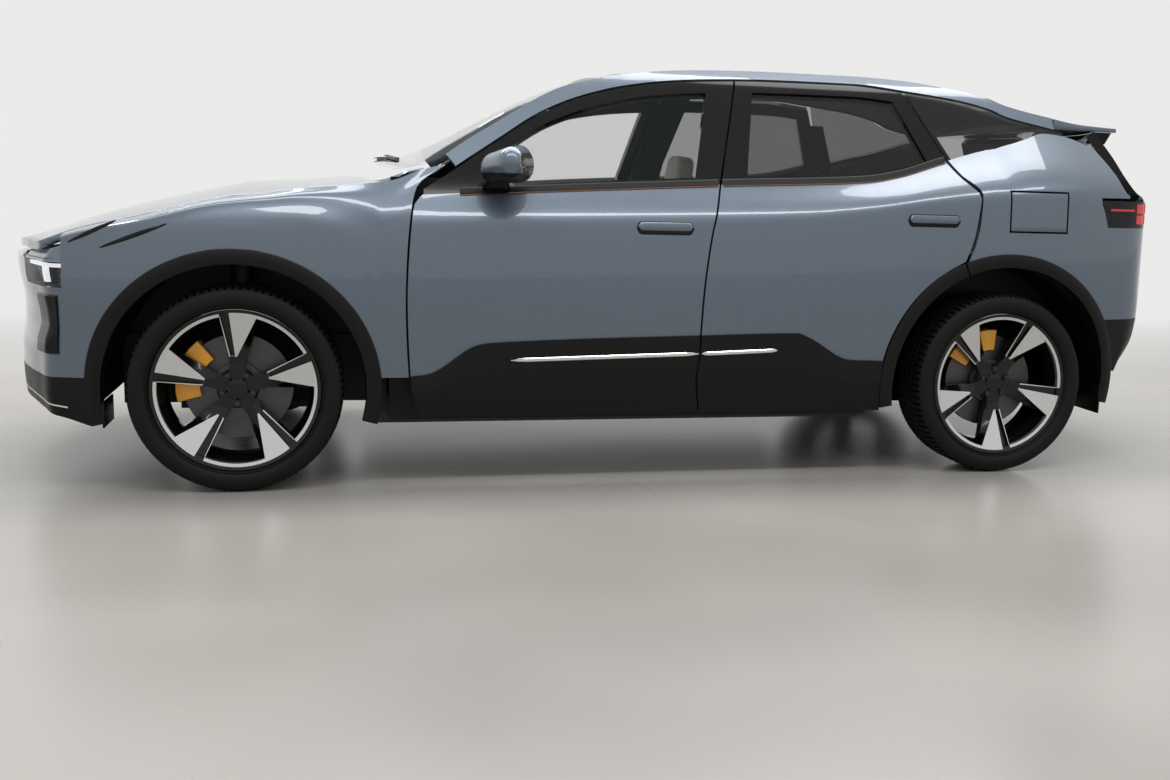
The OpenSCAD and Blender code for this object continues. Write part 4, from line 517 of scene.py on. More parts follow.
# %% Dress the bonnet
longest_bonnet_edge = 0.05
bm = copied("bonnet")
stand_out = bm.verts.layers.float.new("stand_out")
for v in bm.verts:
    v[stand_out] = v.co.z - bonnet_z(v.co.x, v.co.y)
cut_long(bm, longest_bonnet_edge)
for v in bm.verts:
    v.co.z = bonnet_z(v.co.x, v.co.y) + v[stand_out]
made(bm, "bonnet_skin", body_of_node["bonnet"], [paint], ("bonnet",), "paint")
print("bonnet dressed")

# %% [markdown]
# ## Wheels
# A tyre is a profile turned about the axle. Spin does that, and the profile already holds the long grooves.
# The cross grooves come next: every third face of the shoulders is extruded and pushed towards the hub. A rim
# starts as a spun barrel too. Each spoke is one grid whose columns follow the drawn lines of the strip, the
# slot and the bright wedge, so the borders of the machined faces stay crisp however the wheel is lit.

# %% Helpers for wheels
rim_r, rim_half = 0.28, 0.118


def on_axle(bm, axle_x, s):
    """Moves a wheel made about the origin, with its outer face along +Z, to its place."""
    bmesh.ops.rotate(bm, verts=bm.verts, cent=(0, 0, 0), matrix=Matrix.Rotation(math.radians(90), 3, "X"))
    if s > 0:
        bmesh.ops.scale(bm, verts=bm.verts, vec=(1, -1, 1))
    bmesh.ops.translate(bm, verts=bm.verts, vec=(axle_x, s * wheel_y, hub_z))
    bmesh.ops.recalc_face_normals(bm, faces=bm.faces)


def spun(bm, profile, steps, closed=True):
    """Turns a profile of (radius, height) about Z and returns the new faces."""
    points = [bm.verts.new((r, 0, h)) for r, h in profile]
    pairs = list(zip(points, points[1:] + points[:1] if closed else points[1:]))
    lines = [bm.edges.new(p) for p in pairs]
    old = set(bm.faces)
    bmesh.ops.spin(bm, geom=points + lines, cent=(0, 0, 0), axis=(0, 0, 1), angle=math.tau, steps=steps,
                   use_merge=True)
    return [f for f in bm.faces if f not in old]


def gridded(bm, columns, rows, place, material=None):
    """A grid of columns by rows points, each put where place(column, row) says."""
    made_grid = bmesh.ops.create_grid(bm, x_segments=columns - 1, y_segments=rows - 1, size=1.0)["verts"]
    numbers = {}
    for v in made_grid:
        numbers[v] = (round((v.co.x + 1) / 2 * (columns - 1)), round((v.co.y + 1) / 2 * (rows - 1)))
    faces = {f for v in made_grid for f in v.link_faces}
    if material:
        for f in faces:
            f.material_index = material(min(numbers[v][0] for v in f.verts),
                                        min(numbers[v][1] for v in f.verts))
    for v in made_grid:
        v.co = place(*numbers[v])
    return list(faces), made_grid


def line(points, t):
    """The height of a straight-sided line through points at t."""
    for (a, p), (b, q) in zip(points, points[1:]):
        if t <= b:
            return p + (q - p) * (t - a) / (b - a)
    return points[-1][1]


print("wheel helpers ready")

# %% [markdown]
# ## Tyres
# The tread of a road tyre is moulded: long grooves drain water along it and short ones cut its shoulders into
# blocks. The long grooves lie in the spun profile. For the short ones, extruding chosen faces is quicker than
# modelling a block and repeating it, and it keeps the ring closed.

# %% Make the tyres
tread = [(0.37, w) for w in (0.078, 0.05)] + [(0.362, 0.049), (0.362, 0.041), (0.37, 0.04), (0.37, 0.006),
                                              (0.362, 0.005)]
half_profile = [(0.281, 0.098), (0.288, 0.107), (0.297, 0.118), (0.300, 0.1225), (0.3035, 0.121),
                (0.308, 0.1265), (0.322, 0.131), (0.336, 0.1305), (0.352, 0.127), (0.3605, 0.120),
                (0.3655, 0.110), (0.3685, 0.096)] + tread
tyre_profile = half_profile + [(r, -w) for r, w in reversed(half_profile)]


tyre_steps, groove_deep = 264, 0.005


def tyre(node, axle_x, s):
    bm = bmesh.new()
    spun(bm, tyre_profile + [(0.296, -0.09), (0.35, -0.1), (0.35, 0.1), (0.296, 0.09)], tyre_steps)
    def cross_cut(f):
        c = f.calc_center_median()
        r = math.hypot(c.x, c.y)
        turn = round(math.atan2(c.y, c.x) / math.tau * tyre_steps - 0.5) % tyre_steps
        lead = 0 if c.z > 0 else 1
        if 0.358 < r and 0.05 < abs(c.z) < 0.118:
            return (turn + lead) % 3 == 0
        return r > 0.366 and abs(c.z) < 0.04 and (turn + lead) % 4 == 0
    chosen = [f for f in bm.faces if cross_cut(f)]
    sunk = bmesh.ops.extrude_discrete_faces(bm, faces=chosen)["faces"]
    for v in {v for f in sunk for v in f.verts}:
        r = math.hypot(v.co.x, v.co.y)
        v.co.x, v.co.y = v.co.x * (r - groove_deep) / r, v.co.y * (r - groove_deep) / r
    on_axle(bm, axle_x, s)
    made(bm, node + "_tread", body_of_node[node], [rubber], (node,), "tyre")


for row, axle_x in (("front", front_axle_x), ("rear", rear_axle_x)):
    for side_name, s in (("left", -1), ("right", 1)):
        tyre(f"tyre_{row}_{side_name}", axle_x, s)
print("four tyres")

# %% [markdown]
# ## Rims
# The rim is a cast wheel with five spokes, painted black and then turned bright on its front faces. Each
# spoke has a narrow strip, a slot and a wide wedge. Their edges are drawn as lines from the hub to the rim,
# and one grid follows them, so that paint and bare metal can be told apart by its columns.

# %% Draw the lines of a spoke
strip_line = [(0.1, -0.11), (0.34, -0.085), (0.98, -0.2)]
slot_far = [(0.1, -0.06), (0.40, -0.068), (0.98, -0.182)]
slot_near = [(0.1, -0.03), (0.40, -0.018), (0.98, -0.072)]
wedge_line = [(0.1, 0.03), (0.40, 0.0), (0.98, 0.29)]
flank_line = [(0.1, 0.11), (0.34, 0.105), (0.98, 0.31)]
face_level = [(0.0, 0.5), (0.26, 0.5), (0.34, 0.52), (1.0, 0.96)]
spoke_rows = [0.1, 0.2, 0.28, 0.34, 0.395, 0.412, 0.43, 0.5, 0.58, 0.66, 0.74, 0.82, 0.9, 0.952, 0.985]
spoke_columns = 10
spoke_slot_row, spoke_end_row = 6, 5
slot_deep, flank_fall = 0.016, 0.022
spoke_count, spoke_deep, ring_steps = 5, 0.036, 360
spoke_turn = 360 / spoke_count
bolt_circle, bolt_r = 0.2 * rim_r, 0.0105


def spoke_point(i, j):
    r = spoke_rows[j]
    a, b, c, d, e = (line(t, r) for t in (strip_line, slot_far, slot_near, wedge_line, flank_line))
    deep = slot_deep if j >= spoke_slot_row else 0.0
    fall = flank_fall * min(1.0, max(0.0, (r - 0.3) / 0.2))
    u, drop = [(a, fall * 0.6), (a + 0.008, 0.0), (b - 0.003, 0.0), (b + 0.006, deep), (c - 0.006, deep),
               (c + 0.003, 0.0), ((c + d) / 2, 0.0), (d, 0.0), ((d + e) / 2, fall * 0.55), (e, fall)][i]
    return Vector((u * rim_r, r * rim_r, line(face_level, r) * rim_half - drop))


def spoke_material(i, j):
    if j < spoke_end_row:
        return 0
    if j == spoke_end_row:
        return 1 if 1 <= i <= 6 else 0
    return 1 if i in (1, 5, 6) else 0


print(spoke_count, "spokes of", len(spoke_rows), "rows")

# %% [markdown]
# ### Bolts
# Five bolts hold the wheel between the spokes. A cone with six sides and bevelled edges makes the head.

# %% Make a bolt
def bolt(bm, x, y, h, r):
    """A wheel bolt: a six-sided head with bevelled edges."""
    head = bmesh.ops.create_cone(bm, segments=6, radius1=r, radius2=r * 0.92, depth=0.02,
                                 cap_ends=True)["verts"]
    edges = {e for v in head for e in v.link_edges}
    bmesh.ops.translate(bm, verts=head, vec=(x, y, h))
    bmesh.ops.bevel(bm, geom=list(edges), offset=0.0015, affect="EDGES", segments=2, profile=0.5, material=-1)


print("bolts on a circle of", round(bolt_circle, 3), "m")

# %% [markdown]
# ### Barrel, spokes and hub
# The barrel, the bright ring and the hub are turned shapes, so a profile is spun for each. The spoke grid is
# pushed back to give it depth and set round the hub. The rear wheels stand turned a little, as they do in the
# photograph.

# %% Make the rims
def rim(node, axle_x, s, turn):
    bm = bmesh.new()
    shares = [(0.955, -1), (1.045, -1), (1.045, -0.93), (0.998, -0.9), (0.998, -0.62), (0.93, -0.4),
              (0.93, 0.4), (0.998, 0.66), (0.998, 0.9), (1.045, 0.93), (1.045, 0.985), (1.035, 1.0),
              (1.01, 0.99), (0.99, 0.95), (0.96, 0.6), (0.9, 0.3), (0.89, -0.4), (0.955, -0.8)]
    spun(bm, [(r * rim_r, w * rim_half) for r, w in shares], 120)
    level = line(face_level, 0.968) * rim_half
    ring_faces = spun(bm, [(0.952 * rim_r, level - 0.02), (0.992 * rim_r, level - 0.02),
                           (0.992 * rim_r, level + 0.003), (0.952 * rim_r, level)], ring_steps)
    for f in ring_faces:
        c = f.calc_center_median()
        turned = (math.degrees(math.atan2(c.y, c.x)) - 90 + spoke_turn / 2) % spoke_turn - spoke_turn / 2
        f.material_index = 0 if 4.4 < turned < 11.0 else 1
    for k in range(spoke_count):
        faces, points = gridded(bm, spoke_columns, len(spoke_rows), spoke_point, spoke_material)
        back = bmesh.ops.extrude_face_region(bm, geom=faces)["geom"]
        back_points = [v for v in back if isinstance(v, bmesh.types.BMVert)]
        for f in {f for v in back_points for f in v.link_faces}:
            f.material_index = 0
        bmesh.ops.translate(bm, verts=back_points, vec=(0, 0, -spoke_deep))
        both = points + back_points
        bmesh.ops.rotate(bm, verts=both, cent=(0, 0, 0),
                         matrix=Matrix.Rotation(math.radians(spoke_turn * k), 3, "Z"))
    hub = line(face_level, 0.2) * rim_half
    spun(bm, [(0.0005, hub - 0.04), (0.26 * rim_r, hub - 0.04), (0.26 * rim_r, hub - 0.006),
              (0.24 * rim_r, hub + 0.001), (0.15 * rim_r, hub + 0.001), (0.14 * rim_r, hub - 0.003),
              (0.13 * rim_r, hub - 0.003), (0.125 * rim_r, hub + 0.004), (0.05 * rim_r, hub + 0.007),
              (0.0005, hub + 0.007)], 60)
    for k in range(spoke_count):
        angle = math.radians(90 + spoke_turn * (k + 0.5))
        count = len(bm.faces)
        bolt(bm, bolt_circle * math.cos(angle), bolt_circle * math.sin(angle), hub + 0.003, bolt_r)
        bm.faces.ensure_lookup_table()
        for f in bm.faces[count:]:
            f.material_index = 2
    bmesh.ops.rotate(bm, verts=bm.verts, cent=(0, 0, 0), matrix=Matrix.Rotation(math.radians(turn), 3, "Z"))
    on_axle(bm, axle_x, s)
    made(bm, node + "_wheel", body_of_node[node], [black_alloy, machined, dark_metal], (node,), "rim")


for row, axle_x, turn in (("front", front_axle_x, 0.0), ("rear", rear_axle_x, -33.0)):
    for side_name, s in (("left", -1), ("right", 1)):
        rim(f"rim_{row}_{side_name}", axle_x, s, turn)
print("four rims")

# %% [markdown]
# ## Panels drawn from a net
# Bumpers, wings and lamps wrap round corners, so no single skin describes them. A stylist draws such a panel
# as a net of a few curves and lets smooth lines run through the crossings. The helper below does the same: it
# refines a coarse net along its rows and then along its columns, leaves out the cells of an opening, and
# gives the sheet a thickness.

# %% Helper for netted panels
heart = Vector((0.0, 0.0, 0.7))
open_cell = 9
hair = 0.0005


def rounded(points, cuts):
    """Points of a smooth line through the given ones, every gap cut in so many parts."""
    marks = [0.0]
    for p, q in zip(points, points[1:]):
        marks.append(marks[-1] + max((q - p).length, 1e-6))
    tables = [[(m, p[k]) for m, p in zip(marks, points)] for k in range(3)]
    stops = [a + (b - a) * i / cuts for a, b in zip(marks, marks[1:]) for i in range(cuts)] + [marks[-1]]
    return [Vector([curve(t, m) for t in tables]) for m in stops]


print("smooth lines can be drawn")

# %% [markdown]
# ### Thickness
# A pressed panel is a thin sheet with an edge that can be seen at every seam. The sheet is first turned to
# face outward and then copied a little way in along its own normals, with a rim between both.

# %% Helper for thick sheets
def thickened(bm, faces, deep, middle=heart):
    """Turns a sheet's faces away from a middle point and gives it a back so far behind."""
    outward = sum(f.normal.dot(f.calc_center_median() - middle) * f.calc_area() for f in faces)
    if outward < 0:
        bmesh.ops.reverse_faces(bm, faces=faces)
    for v in {v for f in faces for v in f.verts}:
        v.normal_update()
    keep = {f: f.material_index for f in faces}
    front = {v: v.normal.copy() for f in faces for v in f.verts}
    new = bmesh.ops.extrude_face_region(bm, geom=faces, use_keep_orig=True)["geom"]
    tops = [v for v in new if isinstance(v, bmesh.types.BMVert)]
    # The new sheet is the back, so it goes inward and the old one stays the face.
    near = {tuple(round(c, 6) for c in v.co): n for v, n in front.items()}
    for v in tops:
        v.co -= near[tuple(round(c, 6) for c in v.co)] * deep
    for f, m in keep.items():
        f.material_index = m


print("sheets can be thickened")

# %% [markdown]
# ### Net to panel
# Lines run through the rows first and then through the columns of what came out, which keeps both families
# smooth.

# %% Helper for nets
def netted(bm, net, cuts, deep, holes=(), pick=None, middle=heart):
    """A panel through a coarse net of points. A hole is (row, row, column, column) of the net."""
    rows = [rounded([Vector(p) for p in row], cuts) for row in net]
    columns = [rounded([row[j] for row in rows], cuts) for j in range(len(rows[0]))]
    def cell(i, j):
        c, r = i // cuts, j // cuts
        if any(a <= r < b and d <= c < e for a, b, d, e in holes):
            return open_cell
        return pick(r, c) if pick else 0
    faces, _ = gridded(bm, len(columns), len(columns[0]), lambda i, j: columns[i][j], cell)
    bm.normal_update()
    open_cells = [f for f in faces if f.material_index == open_cell]
    kept = [f for f in faces if f.material_index != open_cell]
    bmesh.ops.delete(bm, geom=open_cells, context="FACES")
    thickened(bm, kept, deep, middle)


print("nets can be drawn")

# %% [markdown]
# ### Left and right
# Both sides of the car are alike but for the flap. Left halves are drawn, mirrored and closed into one piece.

# %% Helpers for halves
def other_side(bm):
    """Adds the mirror image, for the right side of the car."""
    copy = bmesh.ops.duplicate(bm, geom=bm.verts[:] + bm.edges[:] + bm.faces[:])["geom"]
    points = [g for g in copy if isinstance(g, bmesh.types.BMVert)]
    bmesh.ops.scale(bm, verts=points, vec=(1, -1, 1))
    bmesh.ops.reverse_faces(bm, faces=[g for g in copy if isinstance(g, bmesh.types.BMFace)])


def closed_up(bm):
    bmesh.ops.remove_doubles(bm, verts=bm.verts, dist=0.00001)
    bmesh.ops.recalc_face_normals(bm, faces=bm.faces)


def whole(bm, *what, **more):
    """Closes a mesh and makes it a piece."""
    closed_up(bm)
    return made(bm, *what, **more)


def paired(bm, *what):
    """Makes one piece of a left half and its mirror image."""
    other_side(bm)
    whole(bm, *what)


print("halves can be mirrored")

# %% [markdown]
# ## Nose: bumper, wings and lower bumper
# The nose is one bow in plan whose depth changes with height. Bumper rows start at the wheel arch, run
# forward along the side, turn the corner and cross the nose. The wing fills what lies between arch, bumper,
# bonnet and door.

# %% Draw the nose
nose_shares = [(0.14, 0.06), (0.19, 0.012), (0.26, 0.006), (0.345, 0.012), (0.37, 0.03), (0.43, 0.014),
               (0.49, 0.0), (0.53, 0.006)]
front_seam_shares = [(0.15, 0.2155), (0.24, 0.2038), (0.43, 0.1998), (0.477, 0.2005), (0.585, 0.2045),
                     (0.644, 0.2096), (0.66, 0.2185), (0.676, 0.2215), (0.706, 0.245), (0.735, 0.266)]
front_trim_r, rear_trim_r, trim_wide, gap = 0.505, 0.536, 0.056, 0.0075
wing_front_x = at(-0.655)


def nose(y, z):
    return nose_x + front_overhang * (curve(nose_shares, z / height) + 0.35 * (y / half_width) ** 2)


def arch_point(x, r, degrees):
    return x + r * math.cos(math.radians(degrees)), hub_z + r * math.sin(math.radians(degrees))


def skin(x, z, out=0.0):
    return Vector((x, -side(x, z) - out, z))


def mix(a, b, t):
    return a + (b - a) * t


def whole_row(half):
    """A row from the left end to the right end, from its left half that ends on the middle line."""
    return half + [Vector((p.x, -p.y, p.z)) for p in reversed(half[:-1])]


bumper_y = [0.88, 0.78, 0.64, 0.46, 0.23, 0.0]
bumper_ends = [arch_point(front_axle_x, front_trim_r, a) for a in (175, 165, 155, 145, 135)]
bumper_rows = [z for _, z in bumper_ends] + [height * 0.474, height * 0.5]


def bumper_row(r):
    z, end_x = bumper_rows[r], bumper_ends[min(r, 4)][0]
    return whole_row([skin(mix(end_x, wing_front_x, u), z) for u in (0, 0.5, 1)]
                     + [Vector((nose(q * half_width, z), -q * half_width, z)) for q in bumper_y])


bm = bmesh.new()
netted(bm, [bumper_row(r) for r in range(7)], 4, 0.03, [(4, 6, 0, 5), (4, 6, 11, 16)])
whole(bm, "front_bumper_skin", "body", [paint], ("front_bumper",), "paint")
print("front bumper drawn")

# %% [markdown]
# ## Lower bumper
# Below the painted bumper sits a black plastic apron that takes stones and kerbs. It follows the same bow,
# rises from the wheel arch to the chin and is thicker than the panel above, so it is a net of three rows of
# its own.

# %% Draw the lower bumper
lower_ends = [arch_point(front_axle_x, front_trim_r, a) for a in (195, 185, 175)]


def lower_row(k):
    end_x, end_z = lower_ends[k]
    half = []
    for e in range(9):
        z = bumper_rows[0] - hair if k == 2 else mix(end_z, end_z + 0.062 * (2 - k) / 2, min(1, e / 5))
        if e < 3:
            half.append(skin(mix(end_x, wing_front_x, e / 2), z))
        else:
            half.append(Vector((nose(bumper_y[e - 3] * half_width, z), -bumper_y[e - 3] * half_width, z)))
    return whole_row(half)


bm = bmesh.new()
netted(bm, [lower_row(k) for k in range(3)], 5, 0.05)
whole(bm, "front_lower_bumper_skin", "body", [satin_black], ("front_lower_bumper",), "trim")
print("lower bumper drawn")

# %% [markdown]
# ## Front wings
# A wing fills the space between arch, bumper, bonnet and door. Rows that run from the arch up to the bonnet,
# with a column every ten degrees of the arch, keep the round edge smooth. The last row turns in to meet the
# bonnet.

# %% Draw the front wings
wing_rows = [0, 0.16, 0.36, 0.58, 0.8, 0.93, 1]
wing_angles = list(range(135, 4, -10))
wing_end = arch_point(front_axle_x, front_trim_r, 5)


def bonnet_edge_z(x):
    return height * curve(bonnet_edge_shares, station(x))


def bonnet_half(x):
    return half_width * curve(bonnet_half_shares, station(x))


def front_seam_x(z):
    return at(curve(front_seam_shares, z / height))


def wing_point(x, low, v):
    z = mix(low, bonnet_edge_z(x), v)
    if v == 1:
        return Vector((x, -bonnet_half(x) - gap, bonnet_edge_z(x)))
    return skin(x, min(z, bonnet_edge_z(x) - 0.008))


def wing_tail(u, v):
    rough_x = mix(wing_end[0], front_seam_x(mix(wing_end[1], bonnet_edge_z(at(0.21)), v)) - gap, u)
    z = mix(wing_end[1], bonnet_edge_z(rough_x), v)
    back = 0.045 if z > belt_z(rough_x) - 0.046 else gap
    return wing_point(mix(wing_end[0], front_seam_x(z) - back, u), wing_end[1], v)


def wing_row(v):
    first = arch_point(front_axle_x, front_trim_r, wing_angles[0])
    row = [wing_point(mix(wing_front_x, first[0], u), first[1], v) for u in (0, 0.34, 0.67)]
    row += [wing_point(*arch_point(front_axle_x, front_trim_r, a), v) for a in wing_angles]
    return row + [wing_tail(u, v) for u in (0.35, 0.7, 1)]


bm = bmesh.new()
netted(bm, [wing_row(v) for v in wing_rows], 4, 0.02)
paired(bm, "front_wings_skin", "body", [paint], ("front_wings",), "paint")
print("nose and wings drawn")

# %% [markdown]
# ## Headlamps
# A headlamp is a black box behind a clear lens. What one sees by day is the bright running light: a bar
# across the top with a leg that drops in the middle, over two round projectors. The box is a net pushed back
# from the bumper's surface, the bar is a narrower net just behind the lens, and each projector is a turned
# bowl with a glass dome.

# %% Make the headlamps
def nose_place(u, z, sink):
    """A point round the front corner: u runs from the nose at 0 to the wing at 1."""
    y = mix(bumper_y[2], bumper_y[0], min(u * 1.5, 1.0)) * half_width
    front, corner = Vector((nose(y, z), -y, z)), skin(wing_front_x - hair, z)
    p = front if u <= 2 / 3 else front.lerp(corner, (u - 2 / 3) * 3)
    return p + (heart - p).normalized() * sink


def lamp_place(u, v, sink):
    """A point behind the lens: v runs from the bottom of the lamp up."""
    return nose_place(u, mix(bumper_rows[4] + hair, bumper_rows[6], v), sink)


bm = bmesh.new()
steps_u = [k / 12 for k in range(13)]
netted(bm, [[lamp_place(u, v, 0.0) for u in steps_u] for v in (0, 0.25, 0.5, 0.75, 1)], 2, 0.004)
paired(bm, "headlamp_lens", "body", [lamp_glass], (), "headlamp")

bm = bmesh.new()
netted(bm, [[lamp_place(u, v, sink) for u in steps_u]
            for v, sink in ((0.0, 0.006), (0.02, 0.05), (0.3, 0.062), (0.7, 0.062), (0.98, 0.05),
                            (1.0, 0.006))], 2,
            0.012)
paired(bm, "headlamp_box", "body", [gloss_black], ("headlamps",), "headlamp")

bm = bmesh.new()
def light_bar(u0, u1, v0, v1):
    netted(bm, [[lamp_place(mix(u0, u1, k / 6), v, 0.014) for k in range(7)]
                for v in (v0, mix(v0, v1, 0.5), v1)], 2,
           0.012)
light_bar(0.06, 0.97, 0.78, 0.93)
light_bar(0.50, 0.60, 0.16, 0.775)
paired(bm, "running_lights", "body", [white_light], (), "headlamp")

bm = bmesh.new()
for u in (0.26, 0.8):
    ahead_of = (lamp_place(u, 0.42, 0.0) - lamp_place(u, 0.42, 0.05)).normalized()
    seat = lamp_place(u, 0.4, 0.048)
    start = len(bm.verts)
    spun(bm, [(0.0005, 0.0), (0.021, 0.001), (0.023, 0.012), (0.019, 0.013), (0.016, 0.008), (0.012, 0.016),
              (0.0005, 0.021)], 32, closed=False)
    bm.verts.ensure_lookup_table()
    fresh = bm.verts[start:]
    turn = ahead_of.to_track_quat("Z", "Y").to_matrix()
    bmesh.ops.rotate(bm, verts=fresh, cent=(0, 0, 0), matrix=turn)
    bmesh.ops.translate(bm, verts=fresh, vec=seat)
paired(bm, "headlamp_projectors", "body", [lamp_bowl], (), "headlamp")


def brow_point(u, v):
    low, high = lamp_place(u, 1.0, 0.002), lamp_place(u, 1.0, 0.03)
    high.z = max(bonnet_z(high.x, high.y) - 0.036, low.z + 0.004)
    return low.lerp(high, v) + Vector((0, 0, 0.001))


bm = bmesh.new()
netted(bm, [[brow_point(u, v) for u in steps_u] for v in (0, 0.5, 1)], 2, 0.004)
paired(bm, "headlamp_brows", "body", [paint], (), "paint")
print("headlamps made")

# %% [markdown]
# ## Tail: bumper, lamps, tailgate and spoiler
# The tail is drawn like the nose: rows that start at the rear arch, follow the side and cross the back. The
# tailgate lies in the middle with its window, and the spoiler carries the roof line on over it.

# %% Draw the tail
tail_shares = [(0.2, 0.2), (0.26, 0.093), (0.32, 0.031), (0.36, 0.009), (0.43, 0.0), (0.69, 0.0),
               (0.705, 0.02), (0.72, 0.055), (0.82, 0.2), (0.875, 0.285), (0.9, 0.32)]
tail_y = [0.862, 0.79, 0.718, 0.52, 0.26, 0.0]
lamp_low, lamp_high, shelf = 0.626 * height, 0.694 * height, 0.7012 * height
lamp_front = (at(1.463), at(1.423))


def tail(y, z):
    return tail_x - rear_overhang * (curve(tail_shares, z / height) + 0.43 * (y / half_width) ** 2)


def lamp_seam_x(z):
    x, low = arch_point(rear_axle_x, rear_trim_r, 40)
    return mix(x, lamp_front[0], (z - low) / (lamp_low - low))


def tail_half(z, first):
    corner = max(min(at(1.61), tail(tail_y[0] * half_width, z) - 0.036), first + 0.018)
    return ([skin(mix(first, corner, u), z) for u in (0, 0.5, 1)]
            + [Vector((tail(q * half_width, z), -q * half_width, z)) for q in tail_y])


def tail_first(z):
    (x0, z0), (x1, z1) = (arch_point(rear_axle_x, rear_trim_r, a) for a in (30, 40))
    return (mix(x0, x1, (z - z0) / (z1 - z0)) if z < z1 else lamp_seam_x(z)) + hair


rear_rows = ([arch_point(rear_axle_x, rear_trim_r, a)[1] for a in (30, 40)]
             + [height * k for k in (0.474, 0.55, 0.626)])
bm = bmesh.new()
netted(bm, [whole_row(tail_half(z, tail_first(z))) for z in rear_rows], 4, 0.04, [(2, 4, 5, 11)])
whole(bm, "rear_bumper_skin", "body", [paint], ("rear_bumper",), "paint")

bm = bmesh.new()
low_rows = [arch_point(rear_axle_x, rear_trim_r, a) for a in (5, 10, 20, 30)]
netted(bm, [whole_row(tail_half(z - hair, x + hair)) for x, z in low_rows], 4, 0.05)
whole(bm, "rear_lower_bumper_skin", "body", [satin_black], ("rear_lower_bumper",), "trim")
print("rear bumpers drawn")

# %% [markdown]
# ## Tail lamps
# A tail lamp is a black box that wraps round the corner, with red lenses behind its cover. The box takes its
# points from the bumper rows. Each lens is a short net over a part of those rows, raised by a hair so that it
# shows.

# %% Make the tail lamps
def tail_lamp_row(v):
    z = mix(lamp_low + hair, lamp_high, v)
    return tail_half(z, mix(lamp_front[0], lamp_front[1], (z - lamp_low) / (shelf - lamp_low)) + 0.001)[:6]


bm = bmesh.new()
netted(bm, [tail_lamp_row(v) for v in (0, 0.25, 0.5, 0.75, 1)], 4, 0.05)
paired(bm, "tail_lamps_skin", "body", [gloss_black], ("tail_lamps",), "tail_lamp")

bm = bmesh.new()
for columns, low, high in (((0.4, 2.0), 0.62, 0.7), ((2.2, 3.0), 0.15, 0.48), ((2.2, 3.0), 0.54, 0.9),
                           ((3.2, 5.0), 0.15, 0.48),
                           ((3.2, 5.0), 0.54, 0.9)):
    def lens_row(v):
        row = rounded(tail_lamp_row(v), 10)
        a, b = (round(c * 10) for c in columns)
        return [p + (p - heart).normalized() * 0.0015 for p in row[a:b + 1]]
    netted(bm, [lens_row(mix(low, high, k / 2)) for k in range(3)], 1, 0.008)
paired(bm, "tail_lamp_lenses", "body", [red_lens], (), "tail_lamp")
print("tail lamps made")

# %% [markdown]
# ## Tailgate
# The tailgate carries the back panel and the rear window in one lid. It is a net over the tail bow: rows
# above the lamps take the black of the window frame, and the cells of the window stay open for a pane set a
# little deeper.

# %% Draw the tailgate
gate_shares = [(0.482, 0.704), (0.57, 0.704), (0.64, 0.704), (0.7, 0.704), (0.709, 0.785), (0.75, 0.765),
               (0.81, 0.72), (0.858, 0.672), (0.875, 0.655)]
gate_columns = [-1, -0.86, -0.6, -0.3, 0, 0.3, 0.6, 0.86, 1]


def gate_point(r, c, sink=0.0):
    z = height * gate_shares[r][0]
    y = gate_columns[c] * (half_width * gate_shares[r][1] - gap)
    return Vector((tail(y, z) - sink, y, z))


bm = bmesh.new()
netted(bm, [[gate_point(r, c) for c in range(9)] for r in range(9)], 4, 0.04, [(5, 7, 1, 7)],
       lambda r, c: 1 if r >= 4 else 0)
whole(bm, "tailgate_skin", "tailgate", [paint, gloss_black], ("tailgate",), "paint")

bm = bmesh.new()
netted(bm, [[gate_point(r, c, 0.01) for c in range(1, 8)] for r in (5, 6, 7)], 4, 0.006)
whole(bm, "rear_glass_pane", "tailgate", [dark_glass], ("rear_glass",), "dark_glass")
print("tailgate drawn")

# %% [markdown]
# ## Roof spoiler
# The spoiler carries the roof line over the rear window. A grid follows crown and edge of the roof, and
# extruding it down to one level gives the flat underside. Two small black fins close its ends.

# %% Make the spoiler
spoiler_bottom = height * 0.875 + hair


def crown_z(x):
    return height * curve(crown_shares, station(x))


def edge_z(x):
    return height * curve(edge_shares, station(x))


def spoiler_point(t, q, low=False):
    y = q * half_width * mix(0.668, 0.61, t)
    tip = at(1.83) - rear_overhang * 0.43 * (y / half_width) ** 2
    x = mix(at(1.31) + 2 * gap, tip, t)
    return Vector((x, y, spoiler_bottom if low else crown_z(x) - (crown_z(x) - edge_z(x)) * q * q))


bm = bmesh.new()
spoiler_steps = [k / 24 - 1 for k in range(49)]
rows = [[spoiler_point(t, q) for q in spoiler_steps] for t in [k / 12 for k in range(13)]]
faces, points = gridded(bm, len(spoiler_steps), len(rows), lambda i, j: rows[j][i])
under = bmesh.ops.extrude_face_region(bm, geom=faces, use_keep_orig=True)["geom"]
for v in under:
    if isinstance(v, bmesh.types.BMVert):
        v.co.z = spoiler_bottom
closed_up(bm)
bmesh.ops.bevel(bm, geom=[e for e in bm.edges if len(e.link_faces) == 2 and e.calc_face_angle() > 0.9],
                offset=0.003, affect="EDGES", segments=2, profile=0.5, material=-1)
made(bm, "roof_spoiler_skin", "tailgate", [paint], ("roof_spoiler",), "paint")

bm = bmesh.new()
fin_stations, fin_share = (0.72, 0.8, 0.88, 0.97), -0.985
netted(bm, [[spoiler_point(t, fin_share, True) - Vector((0.012 + 0.03 * v, 0, 0.002 + 0.05 * v))
             for t in fin_stations]
            for v in (0, 0.5, 1)], 3, 0.014)
paired(bm, "spoiler_fins", "tailgate", [gloss_black], (), "trim")
print("tail drawn")

# %% [markdown]
# ## Wheel arches
# Each arch has a black plastic moulding on the skin, a liner round the wheel and a wall that closes the
# wheelhouse towards the cabin. The moulding is a narrow net in polar steps whose cross-section rises, runs
# flat and rolls in.

